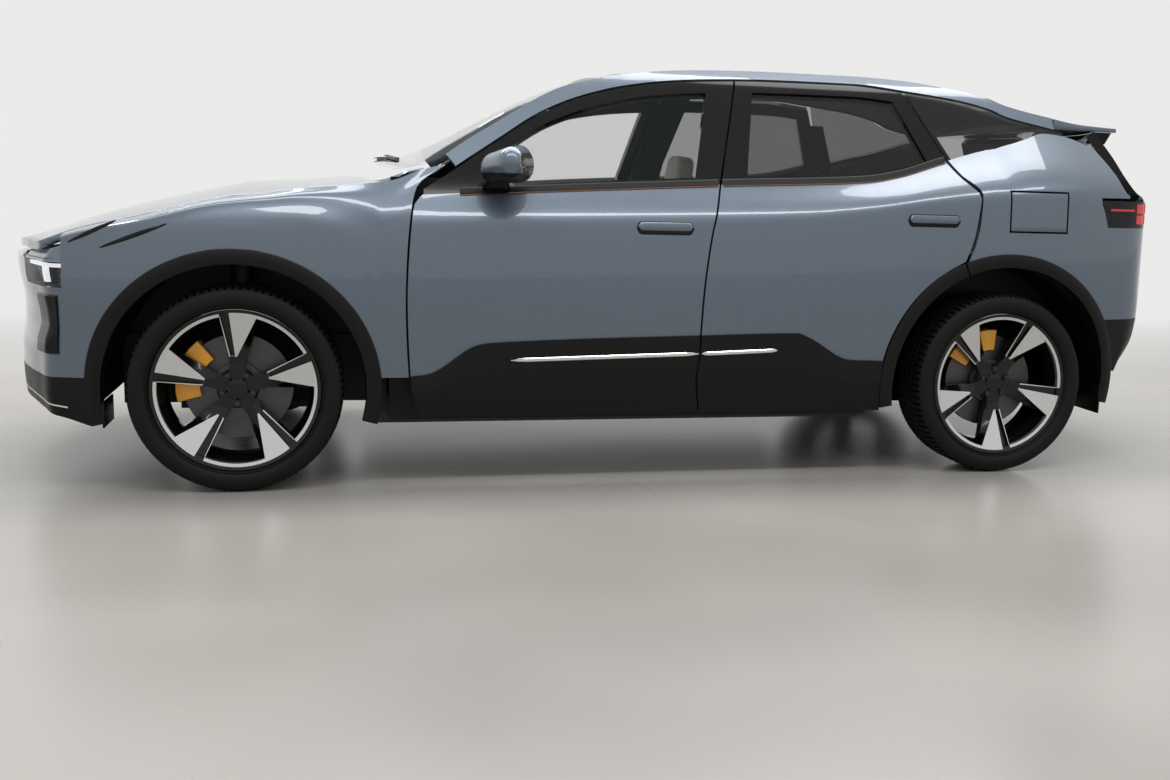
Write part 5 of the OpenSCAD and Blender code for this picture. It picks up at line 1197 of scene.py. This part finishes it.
# %% Make the wheel arches
def arch_moulding(bm, axle_x, radius, first, last, wide=trim_wide, proud=0.008):
    count = max(2, round(abs(first - last) / 2.0))
    profile = [(0.0, -0.001), (0.001, proud * 0.8), (0.004, proud), (wide - 0.008, proud + 0.001),
               (wide - 0.002, proud - 0.002), (wide, proud - 0.008), (wide + 0.001, -0.034)]
    def place(i, j):
        x, z = arch_point(axle_x, radius - profile[j][0], mix(first, last, i / count))
        return skin(x, z, profile[j][1])
    faces, _ = gridded(bm, count + 1, len(profile), place)
    bm.normal_update()
    thickened(bm, faces, 0.004, Vector((axle_x, 0, hub_z)))


def wheelhouse(bm, axle_x, radius, first, last, outer, inner, floor_z):
    count = round((first - last) / 4)
    ends = [math.radians(mix(first, last, k / count)) for k in range(count + 1)]
    def around(i, j):
        return Vector((axle_x + radius * math.cos(ends[i]), -mix(outer, inner, j / 6),
                       hub_z + radius * math.sin(ends[i])))
    faces, _ = gridded(bm, count + 1, 7, around)
    bm.normal_update()
    thickened(bm, faces, 0.006, Vector((axle_x, -outer, hub_z + 9.0)))
    def wall(i, j):
        top = hub_z + radius * math.sin(ends[i])
        return Vector((axle_x + radius * math.cos(ends[i]), -inner,
                       mix(floor_z, max(top, floor_z + 0.001), j / 6)))
    faces, _ = gridded(bm, count + 1, 7, wall)
    bm.normal_update()
    thickened(bm, faces, 0.006, Vector((axle_x, 0.5, hub_z)))


def deflector(bm, x, z0, z1, wide, y0):
    block = bmesh.ops.create_cube(bm, size=1.0)["verts"]
    bmesh.ops.scale(bm, verts=block, vec=(0.008, wide, z1 - z0))
    bmesh.ops.translate(bm, verts=block, vec=(x, y0, (z0 + z1) / 2))
    bmesh.ops.bevel(bm, geom=list({e for v in block for e in v.link_edges}), offset=0.003, affect="EDGES",
                    segments=2, profile=0.5, material=-1)


bm = bmesh.new()
arch_moulding(bm, front_axle_x, front_trim_r, 195, -15)
wheelhouse(bm, front_axle_x, front_trim_r - trim_wide, 185, -5, 0.931, 0.44, 0.25)
deflector(bm, front_axle_x - front_trim_r + trim_wide + 0.006, 0.238, 0.33, 0.19, -0.82)
paired(bm, "front_arches_skin", "body", [satin_black], ("front_arches",), "trim")

bm = bmesh.new()
arch_moulding(bm, rear_axle_x, rear_trim_r, 111.8, -10)
wheelhouse(bm, rear_axle_x, rear_trim_r - trim_wide, 180, -10, 0.878, 0.6, 0.25)
deflector(bm, rear_axle_x + rear_trim_r - trim_wide - 0.006, 0.238, 0.36, 0.19, -0.82)
paired(bm, "rear_arches_skin", "body", [satin_black], ("rear_arches",), "trim")
print("arches made")

# %% [markdown]
# ## Doors and claddings
# A door skin is one pressing: flank, belt and window frame together. Its net follows the seams at both ends,
# the cladding line, the belt and the top of the window, so each border is smooth however finely the net is
# cut. Cells over the glass stay open, and rows above the belt take the black of the window frame. The door
# opens with its inner face in sight, so the back of the sheet gets the trim of the cabin.

# %% Draw the doors
middle_seam_shares = [(0.17, 0.57), (0.25, 0.5646), (0.307, 0.5674), (0.436, 0.5707), (0.579, 0.5798),
                      (0.71, 0.5985), (0.955, 0.635)]
rear_seam_shares = [(0.53, 0.933), (0.59, 0.945), (0.66, 0.9515), (0.69, 0.9533), (0.738, 0.9335),
                    (0.793, 0.919), (0.95, 0.877)]
cladding_shares = [(0.195, 0.255), (0.222, 0.26), (0.285, 0.328), (0.302, 0.333), (0.573, 0.351),
                   (0.7, 0.3565), (0.717, 0.345), (0.775, 0.291), (0.82, 0.288), (0.9, 0.27)]
door_columns = ([0, 0.1, 0.22, 0.34, 0.46, 0.58, 0.7, 0.81, 0.91, 1],
                [0, 0.1, 0.2, 0.32, 0.44, 0.56, 0.68, 0.8, 0.91, 1])
window_columns = ((2, 8), (1, 8))
door_bottom = 0.268


def window_top_z(x):
    return height * curve(window_top_shares, station(x))


def middle_seam_x(z):
    return at(curve(middle_seam_shares, z / height))


def rear_seam_x(z):
    return at(curve(rear_seam_shares, z / height))


def rear_end_x(z):
    if z < hub_z + rear_trim_r * math.sin(math.radians(112)):
        return rear_axle_x - math.sqrt(max(0.0, rear_trim_r ** 2 - (z - hub_z) ** 2))
    return rear_seam_x(z)


def door_z(x, row):
    """Height of a row of the door's net; rows between the drawn ones are allowed."""
    belt, clad = belt_z(x), height * curve(cladding_shares, station(x))
    frame_high = window_top_z(x) - belt
    drawn = ([door_bottom, mix(door_bottom, clad, 0.6), clad]
             + [mix(clad, belt, k) for k in (0.28, 0.55, 0.8, 1)])
    drawn += [belt + frame_high * k for k in (0.07, 0.5)] + [belt + max(frame_high * 0.6, frame_high - 0.046),
                                                             belt + frame_high]
    r = min(int(row), 9)
    return mix(drawn[r], drawn[r + 1], row - r)


def door_ends(which, z):
    if which == 1:
        return middle_seam_x(z) + gap / 2, rear_end_x(z) - gap / 2
    return (at(0.22) if z > belt_z(at(0.22)) else front_seam_x(z)), middle_seam_x(z) - gap / 2


def door_point(which, column, row, out=0.0):
    shares = door_columns[which]
    c = min(int(column), 8)
    u = mix(shares[c], shares[c + 1], column - c)
    x = mix(*door_ends(which, hub_z), u)
    for _ in range(6):
        x = mix(*door_ends(which, door_z(x, row)), u)
    return skin(x, door_z(x, row), out)
print("doors measured")

# %% [markdown]
# ## Door skins
# The four doors come from the same net, mirrored for the right side. Fine rows keep the seam with the rear
# arch true. The black cladding is a second net over the two lowest rows, a little proud of the skin, and the
# rear door carries the front part of the arch moulding.

# %% Make the door skins
def door_net(bm, which, rows, out, cuts, hole=None, pick=None, deep=0.04):
    first, last = rows
    def place(i, j):
        row = first + j / cuts
        return door_point(which, i / cuts, row, out(row))
    def cell(i, j):
        c, r = i // cuts, first + j // cuts
        if hole and hole[0] <= r < hole[1] and hole[2] <= c < hole[3]:
            return open_cell
        return pick(r) if pick else 0
    faces, _ = gridded(bm, 9 * cuts + 1, (last - first) * cuts + 1, place, cell)
    bm.normal_update()
    kept = [f for f in faces if f.material_index != open_cell]
    bmesh.ops.delete(bm, geom=[f for f in faces if f.material_index == open_cell], context="FACES")
    thickened(bm, kept, deep)
    return set(kept)


for which, row_name in ((0, "front"), (1, "rear")):
    for side_name, s in (("left", -1), ("right", 1)):
        bm = bmesh.new()
        shown = door_net(bm, which, (0, 10), lambda row: 0.0, 8, (7, 9) + window_columns[which],
                         lambda r: 1 if r >= 6 else 0)
        for f in bm.faces:
            if f not in shown:
                f.material_index = 2 if len(f.verts) == 4 and f.calc_center_median().z < 1.0 else 1
        if s > 0:
            bmesh.ops.scale(bm, verts=bm.verts, vec=(1, -1, 1))
        closed_up(bm)
        node = f"door_{row_name}_{side_name}"
        made(bm, node + "_skin", body_of_node[node], [paint, gloss_black, dash_plastic], (node,), "paint")
        bm = bmesh.new()
        door_net(bm, which, (0, 2), lambda row: 0.008 + 0.008 * (1 - abs(row - 1)), 6, deep=0.007)
        if which == 1:
            arch_moulding(bm, rear_axle_x, rear_trim_r, 112.6, 190)
        if s > 0:
            bmesh.ops.scale(bm, verts=bm.verts, vec=(1, -1, 1))
        closed_up(bm)
        node = f"cladding_{row_name}_{side_name}"
        made(bm, node + "_skin", body_of_node[node], [satin_black], (node,), "trim")
print("doors drawn")

# %% [markdown]
# ## Trim on the doors
# Handles lie flush: a dark shell with a painted bar over its upper part. A bright strip runs along the
# claddings, and a black strip with a bronze line under it follows the belt. All of them are narrow nets laid
# on the door's surface.

# %% Add the trim of the doors
def laid(bm, x0, x1, low, high, out, deep, cuts=24, ends=0.0):
    """A strip on the side skin between two heights, given as functions of x, with a rounded cross-section."""
    profile = [(0.0, out - deep), (0.04, out - deep * 0.3), (0.2, out), (0.8, out), (0.96, out - deep * 0.3),
               (1.0, out - deep)]
    def place(i, j):
        x = mix(x0, x1, i / cuts)
        taper = min(1.0, min(i, cuts - i) / cuts / ends) if ends else 1.0
        v, o = profile[j]
        middle, half = (low(x) + high(x)) / 2, (high(x) - low(x)) / 2
        return skin(x, middle + half * (2 * v - 1) * (0.15 + 0.85 * math.sqrt(taper)), o)
    faces, _ = gridded(bm, cuts + 1, len(profile), place)
    bm.normal_update()
    thickened(bm, faces, 0.004)


def at_side(bm, s):
    if s > 0:
        bmesh.ops.scale(bm, verts=bm.verts, vec=(1, -1, 1))
    closed_up(bm)


def strip_z(x):
    return line([(-0.6, 0.4785), (0.221, 0.505), (0.6, 0.522)], x)


handles = {"front": (-0.108, 0.102, 0.956, 1.001), "rear": (0.984, 1.195, 1.009, 1.054)}
strips = {"front": (-0.582, middle_seam_x(0.5) - 0.006), "rear": (middle_seam_x(0.5) + 0.006, 0.452)}
for row_name, which in (("front", 0), ("rear", 1)):
    x0, x1, z0, z1 = handles[row_name]
    a, b = strips[row_name]
    first = door_point(which, 0, 6).x if which else at(0.262)
    last = door_point(which, 9, 6).x
    trims = (
        ("handle_shell", gloss_black, "trim", x0 - 0.006, x1 + 0.006, lambda x: z0 - 0.004,
         lambda x: z1 + 0.004, 0.0015, 0.003, 24, 0.06),
        ("handle", paint, "paint", x0, x1, lambda x: z0 + 0.013, lambda x: z1, 0.009, 0.007, 24, 0.05),
        ("bright_strip", chrome, "trim", a, b, lambda x: strip_z(x) - 0.008, lambda x: strip_z(x) + 0.008,
         0.021, 0.006, 24, 0.02),
        ("belt_strip", satin_black, "trim", first + 0.004, last - 0.004, lambda x: belt_z(x) - 0.004,
         lambda x: belt_z(x) + 0.02, 0.003, 0.003, 40, 0.0),
        ("belt_line", bronze, "trim", first + 0.006, last - 0.006, lambda x: belt_z(x) - 0.009,
         lambda x: belt_z(x) - 0.004, 0.003, 0.002, 40, 0.0))
    for side_name, s in (("left", -1), ("right", 1)):
        body = f"door_{row_name}_{side_name}"
        for name, material, slot, start, end, low, high, out, deep, cuts, ends in trims:
            bm = bmesh.new()
            laid(bm, start, end, low, high, out, deep, cuts, ends)
            at_side(bm, s)
            made(bm, f"{body}_{name}", body, [material], (), slot)
print("door trim added")

# %% [markdown]
# ## Mirrors
# A mirror is a painted cap on a black foot with the glass facing back. The solid's cap is made of a few
# facets, so a copy is cut finely and relaxed until it is round.

# %% Make the mirrors
cap_z, cap_stretch, relax_rounds = belt_z(at(0.318)) + 0.055, 0.25, 6
for side_name in ("left", "right"):
    node = f"mirror_{side_name}"
    bm = copied(node)
    cut_long(bm, 0.012)
    for _ in range(relax_rounds):
        bmesh.ops.smooth_vert(bm, verts=bm.verts, factor=0.5, use_axis_x=True, use_axis_y=True,
                              use_axis_z=True)
    bmesh.ops.recalc_face_normals(bm, faces=bm.faces)
    for v in bm.verts:
        v.co.z += cap_stretch * max(0.0, v.co.z - cap_z)
    for f in bm.faces:
        c = f.calc_center_median()
        if f.normal.x > 0.75 and c.z > cap_z:
            f.material_index = 2
        elif c.z < cap_z or c.z - cap_z < 0.012:
            f.material_index = 1
    made(bm, node + "_cap", body_of_node[node], [paint, satin_black, chrome], (node,), "paint", sharp=60)
print("mirrors made")

# %% [markdown]
# ## Roof, screens and side glass
# The windscreen and the roof are large panes set flush between two painted rails. A rail runs from the foot
# of the screen pillar over the doors to the tail, always between the top of the side windows and the edge of
# the roof. The panes are nets between those edges, crowned in the middle, and the screen's foot bows forward.

# %% Draw the roof
rail_stations = [0.26, 0.275, 0.319, 0.36, 0.4, 0.44, 0.48, 0.54, 0.6, 0.68, 0.75, 0.812, 0.887, 0.955, 1.02,
                 1.08, 1.15, 1.24, 1.31]


def rail_low(x):
    return min(window_top_z(x) + gap + 0.003, edge_z(x) - 0.016)


def rail_point(s, v):
    x = at(mix(0.26, 0.248, v) if s == 0.26 else s)
    return skin(x, mix(rail_low(x), edge_z(x), v))


def top_net(stations, bow=0.0, inset=0.003, rows=17):
    """Rows across the roof; the first station may bow forward in the middle."""
    net = []
    for k, s in enumerate(stations):
        row = []
        for r in range(rows):
            q = 2 * r / (rows - 1) - 1
            edge_x = at(s)
            half = side(edge_x, edge_z(edge_x)) - inset
            x = edge_x - bow * (1 - k / (len(stations) - 1)) * (1 - q * q)
            wide = side(x, edge_z(x)) - inset
            row.append(Vector((x, q * half, top_z(x, q * wide))))
        net.append(row)
    return net


bm = bmesh.new()
netted(bm, [[rail_point(s, v) for s in rail_stations] for v in (0, 0.25, 0.5, 0.75, 1)], 4, 0.012)
other_side(bm)
netted(bm, top_net([0.4475, 0.46, 0.473]), 2, 0.03)
netted(bm, top_net([1.247, 1.265, 1.29, 1.31]), 2, 0.03)
whole(bm, "roof_frame_skin", "body", [paint], ("roof_frame",), "paint")
for node, stations, bow, material, slot in (
        ("windscreen", [0.2, 0.235, 0.271, 0.319, 0.36, 0.4, 0.44], 0.106, clear_glass, "clear_glass"),
        ("roof_glass", [0.48, 0.54, 0.6, 0.68, 0.75, 0.812, 0.887, 0.955, 1.02, 1.08, 1.15, 1.24], 0.0,
         dark_glass, "dark_glass")):
    bm = bmesh.new()
    netted(bm, top_net(stations, bow), 3, 0.006)
    whole(bm, node + "_pane", "body", [material], (node,), slot)
print("roof drawn")

# %% [markdown]
# ## Side glass
# Door windows are thin curved panes that lie a little behind the skin. They use the points of the door net
# between the columns of the opening, so that glass and frame always fit. The rear panes are tinted.

# %% Dress the side glass
for side_name in ("left", "right"):
    for row_name, which, material, slot in (("front", 0, clear_glass, "clear_glass"),
                                            ("rear", 1, dark_glass, "dark_glass")):
        node = f"glass_{row_name}_{side_name}"
        first, last = window_columns[which]
        bm = bmesh.new()
        def pane(i, j):
            return door_point(which, first + i / 4, 7 + j / 8, -0.010)
        faces, _ = gridded(bm, (last - first) * 4 + 1, 17, pane)
        bm.normal_update()
        thickened(bm, faces, 0.005)
        at_side(bm, -1 if side_name == "left" else 1)
        made(bm, node + "_pane", body_of_node[node], [material], (node,), slot)
print("side glass made")

# %% [markdown]
# ## Quarter panels
# The quarter panel runs over the rear wheel from the door to the lamp and carries the small side window. On
# the left it has the square opening of the charging flap, with a black box behind it that holds the inlet.
# Its net follows the arch below, the door seam in front, the lamp at the back and the window line above.

# %% Net of the quarters
quarter_top_shares = [(0.9, 0.769), (1.0, 0.816), (1.087, 0.832), (1.15, 0.844), (1.25, 0.861), (1.32, 0.858),
                      (1.47, 0.826), (1.52, 0.77), (1.56, 0.715), (1.6, 0.704)]
quarter_angles = list(range(110, 39, -10))
quarter_rows, quarter_cuts = 6, 4
shelf_row = 3 * quarter_cuts
flap_z = (0.613 * height, 0.708 * height)
flap_x = (at(0.997), at(1.25))


def quarter_top_z(x):
    return height * curve(quarter_top_shares, station(x))


def quarter_z(low, x, r):
    return [low, (low + lamp_low) / 2, lamp_low, shelf, mix(shelf, quarter_top_z(x), 0.5),
            quarter_top_z(x)][r]


def quarter_point(c, r):
    last = len(quarter_angles) - 1
    px, pz = arch_point(rear_axle_x, rear_trim_r, quarter_angles[min(c, last)])
    z0 = quarter_z(pz, px, r)
    seam = rear_seam_x(quarter_z(pz, rear_seam_x(z0), r)) + gap + 0.003
    if c == 0:
        x = px if r == 0 else seam
    elif c < last:
        x = mix(px, mix(seam, lamp_front[1], c / last), min(1, r / 2) * 0.6)
    elif c == last:
        x = lamp_seam_x(z0) if r < 3 else lamp_front[1]
    else:
        x = at((1.51, 1.58)[c - last - 1])
    return skin(x, quarter_z(pz, x, r))


print("quarter net of", len(quarter_angles) + 2, "by", quarter_rows)

# %% [markdown]
# ### Sheet and opening
# The opening of the flap is cut by four planes, because the net's own lines lean and would leave it crooked.
# Above the lamp the rows are spread anew between the shelf and the window line.

# %% Cut the opening and make the sheet
def cut_frame(bm, x0, x1, z0, z1):
    """Cuts the four lines of an opening into the sheet and takes out the faces within."""
    for place, direction in (((x0, 0, 0), (1, 0, 0)), ((x1, 0, 0), (1, 0, 0)), ((0, 0, z0), (0, 0, 1)),
                             ((0, 0, z1), (0, 0, 1))):
        bmesh.ops.bisect_plane(bm, geom=bm.verts[:] + bm.edges[:] + bm.faces[:], plane_co=place,
                               plane_no=direction)
    inside = [f for f in bm.faces if x0 < f.calc_center_median().x < x1
              and z0 < f.calc_center_median().z < z1]
    bmesh.ops.delete(bm, geom=inside, context="FACES")


def quarter_sheet(bm, with_flap):
    columns = len(quarter_angles) + 2
    rows = [rounded([quarter_point(c, r) for c in range(columns)], quarter_cuts) for r in range(quarter_rows)]
    cols = [rounded([row[j] for row in rows], quarter_cuts) for j in range(len(rows[0]))]
    def place(i, j):
        p = cols[i][j]
        high = (j - shelf_row) / (2 * quarter_cuts)
        return skin(p.x, p.z if j < shelf_row else mix(shelf, quarter_top_z(p.x), high))
    faces, _ = gridded(bm, len(cols), len(cols[0]), place,
                       lambda i, j: open_cell if j < shelf_row and i >= (columns - 3) * quarter_cuts else 0)
    bmesh.ops.delete(bm, geom=[f for f in faces if f.material_index == open_cell], context="FACES")
    if with_flap:
        cut_frame(bm, flap_x[0] - gap, flap_x[1] + gap, flap_z[0] - gap, flap_z[1] + gap)
    bm.normal_update()
    thickened(bm, bm.faces[:], 0.012, Vector((rear_axle_x, 0.0, sum(flap_z) / 2)))


print("quarter sheet ready")

# %% [markdown]
# ### Both sides
# Only the left sheet has the opening, so the right one is drawn closed, mirrored and added to the same piece.

# %% Draw the quarters on both sides
bm = bmesh.new()
quarter_sheet(bm, True)
right_half = bmesh.new()
quarter_sheet(right_half, False)
bmesh.ops.scale(right_half, verts=right_half.verts, vec=(1, -1, 1))
bmesh.ops.reverse_faces(right_half, faces=right_half.faces)
kept_half = bpy.data.meshes.new("right_quarter")
right_half.to_mesh(kept_half)
bm.from_mesh(kept_half)
right_half.free()
bpy.data.meshes.remove(kept_half)
whole(bm, "quarter_panels_skin", "body", [paint], ("quarter_panels",), "paint")
print("quarter panels drawn")

# %% [markdown]
# ## Charging flap
# The flap is a piece of the same skin with bevelled edges, so it closes flush. Behind it sits a black box
# with the round inlet. A cube whose open face is inset and pushed in makes the box, and a spun profile the
# socket.

# %% Make the flap and the inlet
bm = bmesh.new()
faces, _ = gridded(bm, 13, 9, lambda i, j: skin(mix(flap_x[0], flap_x[1], i / 12),
                                                mix(flap_z[0], flap_z[1], j / 8)))
bm.normal_update()
thickened(bm, faces, 0.006, Vector((rear_axle_x, 0.0, 0.8)))
closed_up(bm)
bmesh.ops.bevel(bm, geom=[e for e in bm.edges if e.calc_face_angle(0) > 1.0], offset=0.0015, affect="EDGES",
                segments=2, profile=0.5, material=-1)
made(bm, "charge_flap_skin", "charge_flap", [paint], ("charge_flap",), "paint")

bm = bmesh.new()
box = bmesh.ops.create_cube(bm, size=1.0)["verts"]
bmesh.ops.scale(bm, verts=box, vec=(flap_x[1] - flap_x[0] + 0.012, 0.05, flap_z[1] - flap_z[0] + 0.012))
box_y = -side(flap_x[1], flap_z[0]) + 0.064
bmesh.ops.translate(bm, verts=box, vec=((flap_x[0] + flap_x[1]) / 2, box_y, (flap_z[0] + flap_z[1]) / 2))
mouth = [f for f in bm.faces if f.normal.y < -0.9]
bmesh.ops.inset_region(bm, faces=mouth, thickness=0.004, depth=0.0)
bmesh.ops.translate(bm, verts=list({v for f in mouth for v in f.verts}), vec=(0, 0.03, 0))
start = len(bm.verts)
spun(bm, [(0.0005, 0.0), (0.022, 0.0), (0.022, 0.02), (0.030, 0.02), (0.030, -0.004), (0.0005, -0.004)], 40,
     closed=False)
bm.verts.ensure_lookup_table()
socket = bm.verts[start:]
bmesh.ops.rotate(bm, verts=socket, cent=(0, 0, 0), matrix=Matrix.Rotation(math.radians(90), 3, "X"))
bmesh.ops.translate(bm, verts=socket, vec=(mix(flap_x[0], flap_x[1], 0.55), box_y + 0.004,
                                           mix(flap_z[0], flap_z[1], 0.45)))
whole(bm, "charging_inlet", "body", [satin_black], (), "trim")
print("flap made")

# %% [markdown]
# ## Quarter windows
# Behind the doors a fixed window narrows to a tip under the roof rail. Its net leans with the door seam in
# front and ends where panel and rail come together.

# %% Make the quarter windows
glass_end_x = max(x for x in (at(1.0 + k / 200) for k in range(70)) if rail_low(x) - quarter_top_z(x) > 0.012)


def side_glass_point(u, v):
    first = quarter_point(0, 5)
    lean = rear_seam_x(rail_low(first.x)) - rear_seam_x(first.z)
    x = mix(first.x + lean * v, glass_end_x, u)
    return skin(x, mix(quarter_top_z(x) + hair, rail_low(x) - 0.006, v))


bm = bmesh.new()
netted(bm, [[side_glass_point(k / 16, v) for k in range(17)] for v in (0, 0.5, 1)], 4, 0.006)
paired(bm, "quarter_windows_pane", "body", [dark_glass], ("quarter_windows",), "dark_glass")
print("quarters drawn")

# %% [markdown]
# ## Cabin
# Seats are foam under sewn leather: full, rounded blocks drawn in along their seams. A finely cut cube is
# pressed towards a rounded block and then dented along each seam, as a sculptor would, so the padding reads
# as soft. The dashboard keeps its solid's form with its edges rolled over, and a cloth lining hangs under the
# roof.

# %% Make the seats
def cushion(bm, half, place, lean=0.0, seams=(), corner=5.0, narrow=0.0):
    """A stuffed block of half sizes, leaned back about Y, with seams given as (axis, share)."""
    start = len(bm.verts)
    block = bmesh.ops.create_cube(bm, size=2.0)["verts"]
    bmesh.ops.subdivide_edges(bm, edges=list({e for v in block for e in v.link_edges}), cuts=19,
                              use_grid_fill=True)
    bm.verts.ensure_lookup_table()
    points = bm.verts[start:]
    turn = Matrix.Rotation(math.radians(lean), 3, "Y")
    for v in points:
        p = v.co / sum(abs(c) ** corner for c in v.co) ** (1 / corner)
        dent = sum(math.exp(-((p[axis] - share) / 0.05) ** 2) for axis, share in seams)
        swell = 1.0 + 0.03 * math.cos(p.y * math.pi / 2) - 0.045 * dent
        p = Vector((p.x * half[0] * swell, p.y * half[1] * (1 - narrow * (p.z + 1) / 2),
                    p.z * half[2] * swell))
        v.co = turn @ p + Vector(place)
    bmesh.ops.smooth_vert(bm, verts=points, factor=0.4, use_axis_x=True, use_axis_y=True, use_axis_z=True)


seat_x, floor_z = at(0.505), 0.33
bm = bmesh.new()
for y in (-0.37, 0.37):
    cushion(bm, (0.295, 0.255, 0.14), (seat_x - 0.05, y, floor_z + 0.15), -4,
            [(1, -0.62), (1, 0.62), (0, 0.1)])
    cushion(bm, (0.07, 0.235, 0.335), (seat_x + 0.31, y, floor_z + 0.46), 16,
            [(1, -0.6), (1, 0.6), (2, -0.2)], narrow=0.15)
    cushion(bm, (0.045, 0.125, 0.095), (seat_x + 0.398, y, floor_z + 0.85), 8, [(1, 0.0)])
front_cushions = whole(bm, "front_seats_padding", "body", [leather], ("front_seats",), "seat", sharp=80)
bm = bmesh.new()
bench_x = at(0.8)
cushion(bm, (0.275, 0.55, 0.12), (bench_x - 0.04, 0, floor_z + 0.125), -4, [(1, -0.33), (1, 0.33), (0, 0.2)])
cushion(bm, (0.068, 0.52, 0.335), (bench_x + 0.288, 0, floor_z + 0.46), 14.5,
        [(1, -0.33), (1, 0.33), (2, 0.1)], narrow=0.05)
bench = whole(bm, "rear_seat_padding", "body", [leather], ("rear_seat",), "seat", sharp=80)
print("seats padded")

# %% [markdown]
# ## Cabin
# The dashboard is a moulded form with soft corners. Its solid already has the shape, so a copy is joined into
# large faces and its long edges are bevelled. A screen stands on it, and a pale cloth lines the roof.

# %% Fit out the cabin
def softened(node, offset, sharper=0.5, longest=None):
    """A copy of a solid with flat faces joined and its corners rolled over."""
    bm = copied(node)
    bmesh.ops.dissolve_limit(bm, angle_limit=math.radians(1), verts=bm.verts, edges=bm.edges)
    corners = [e for e in bm.edges if len(e.link_faces) == 2 and e.calc_face_angle() > sharper
               and (not longest or e.calc_length() > longest)]
    bmesh.ops.bevel(bm, geom=corners, offset=offset, offset_type="OFFSET", affect="EDGES", segments=3,
                    profile=0.5, material=-1, clamp_overlap=True)
    bmesh.ops.recalc_face_normals(bm, faces=bm.faces)
    return bm


made(softened("cabin_fittings", 0.018, longest=0.12), "dashboard", "body", [dash_plastic],
     ("cabin_fittings",), "cabin")
bm = bmesh.new()
panel = bmesh.ops.create_cube(bm, size=1.0)["verts"]
bmesh.ops.scale(bm, verts=panel, vec=(0.012, 0.19, 0.29))
bmesh.ops.bevel(bm, geom=bm.edges[:], offset=0.005, affect="EDGES", segments=2, profile=0.5, material=-1)
bmesh.ops.rotate(bm, verts=bm.verts, cent=(0, 0, 0), matrix=Matrix.Rotation(math.radians(12), 3, "Y"))
bmesh.ops.translate(bm, verts=bm.verts, vec=(at(0.165) + 0.44, 0, 0.93))
made(bm, "middle_screen", "body", [gloss_black], (), "cabin")

bm = bmesh.new()
lining_stations, lining_drop = [0.47, 0.55, 0.65, 0.8, 0.95, 1.1, 1.24], Vector((0, 0, 0.05))
lining = [[p - lining_drop for p in row] for row in top_net(lining_stations, inset=0.06)]
netted(bm, lining, 3, 0.008)
whole(bm, "roof_lining", "body", [headlining], (), "cabin")
print("cabin fitted out")

# %% [markdown]
# ## Small parts outside
# What is left are the narrow things that make a car look finished: black air slots on the wings, an upright
# blade at each corner of the nose, a bright line along the chin, wipers, the seals over the doors, and
# rounded calipers.

# %% Add the small parts
bm = bmesh.new()
for x0, z0, x1, z1 in ((-2.09, 0.884, -1.93, 0.962), (-1.985, 0.868, -1.765, 0.955)):
    laid(bm, x0, x1, lambda x: mix(z0, z1, (x - x0) / (x1 - x0)) - 0.008,
         lambda x: mix(z0, z1, (x - x0) / (x1 - x0)) + 0.009,
         0.002, 0.004, 30, 0.4)
paired(bm, "wing_air_slots", "body", [gloss_black], (), "trim")

bm = bmesh.new()
blade_u = [0.42 + 0.5 * k / 8 for k in range(9)]
netted(bm, [[nose_place(u, mix(0.49, 0.705, v), 0.012 if v in (0, 1) else -0.011) for u in blade_u]
            for v in (0, 0.04, 0.25, 0.5, 0.75, 0.96, 1)], 2, 0.012)
paired(bm, "corner_blades", "body", [gloss_black], (), "trim")
print("nose trim added")

# %% [markdown]
# ## Chin line and wipers
# A bright line follows the chin, taken from the lower bumper rows. Each wiper is a narrow blade bent over the
# foot of the windscreen: a grid whose rows lift away from the glass.

# %% Add the chin line and the wipers
bm = bmesh.new()
low, high = lower_row(0), lower_row(1)
def chin(share):
    return [a.lerp(b, share) + Vector((a.x - heart.x, a.y, 0)).normalized() * 0.003
            for a, b in zip(low, high)][2:-2]
netted(bm, [chin(k) for k in (0.52, 0.56, 0.6)], 4, 0.006)
whole(bm, "chin_line", "body", [chrome], (), "trim")

bm = bmesh.new()
for first_y, last_y in ((-0.66, -0.06), (-0.06, 0.52)):
    def blade(i, j):
        y = mix(first_y, last_y, i / 20)
        q = y / 0.8
        x = at(0.2) - 0.106 * (1 - q * q) + mix(0.006, 0.05, i / 20) + (0.006 if j in (1, 2) else -0.006)
        return Vector((x, y, top_z(x, y) + (0.006, 0.006, 0.018, 0.018)[j]))
    faces, _ = gridded(bm, 21, 4, blade)
    bm.normal_update()
    thickened(bm, faces, 0.003, Vector((at(0.2), 0, -5.0)))
whole(bm, "wipers", "body", [satin_black], (), "trim")
print("wipers added")

# %% [markdown]
# ## Seals and calipers
# Black rubber closes the gap over the doors, and a trim panel stands behind the rear door seam. The calipers
# are castings, so their blocks get rolled edges.

# %% Add the seals and the calipers
bm = bmesh.new()
laid(bm, at(0.275), at(0.875), lambda x: window_top_z(x) + 0.0012, lambda x: rail_low(x) - 0.001, -0.014,
     0.004, 60)
paired(bm, "door_seals", "body", [satin_black], (), "trim")

bm = bmesh.new()
pillar_low, pillar_high, pillar_ahead, pillar_behind, pillar_sunk = 1.1, 1.46, 0.035, 0.05, 0.05


def pillar_point(i, j):
    z = mix(pillar_low, pillar_high, j / 12)
    return skin(rear_seam_x(z) + mix(-pillar_ahead, pillar_behind, i / 4), z, -pillar_sunk)


faces, _ = gridded(bm, 5, 13, pillar_point)
bm.normal_update()
thickened(bm, faces, 0.006)
paired(bm, "rear_pillar_trim", "body", [satin_black], (), "trim")

for node in ("caliper_front_left", "caliper_front_right", "calipers_rear"):
    made(softened(node, 0.004), node + "_casting", body_of_node[node], [gold], (node,), "caliper")
print("small parts added")
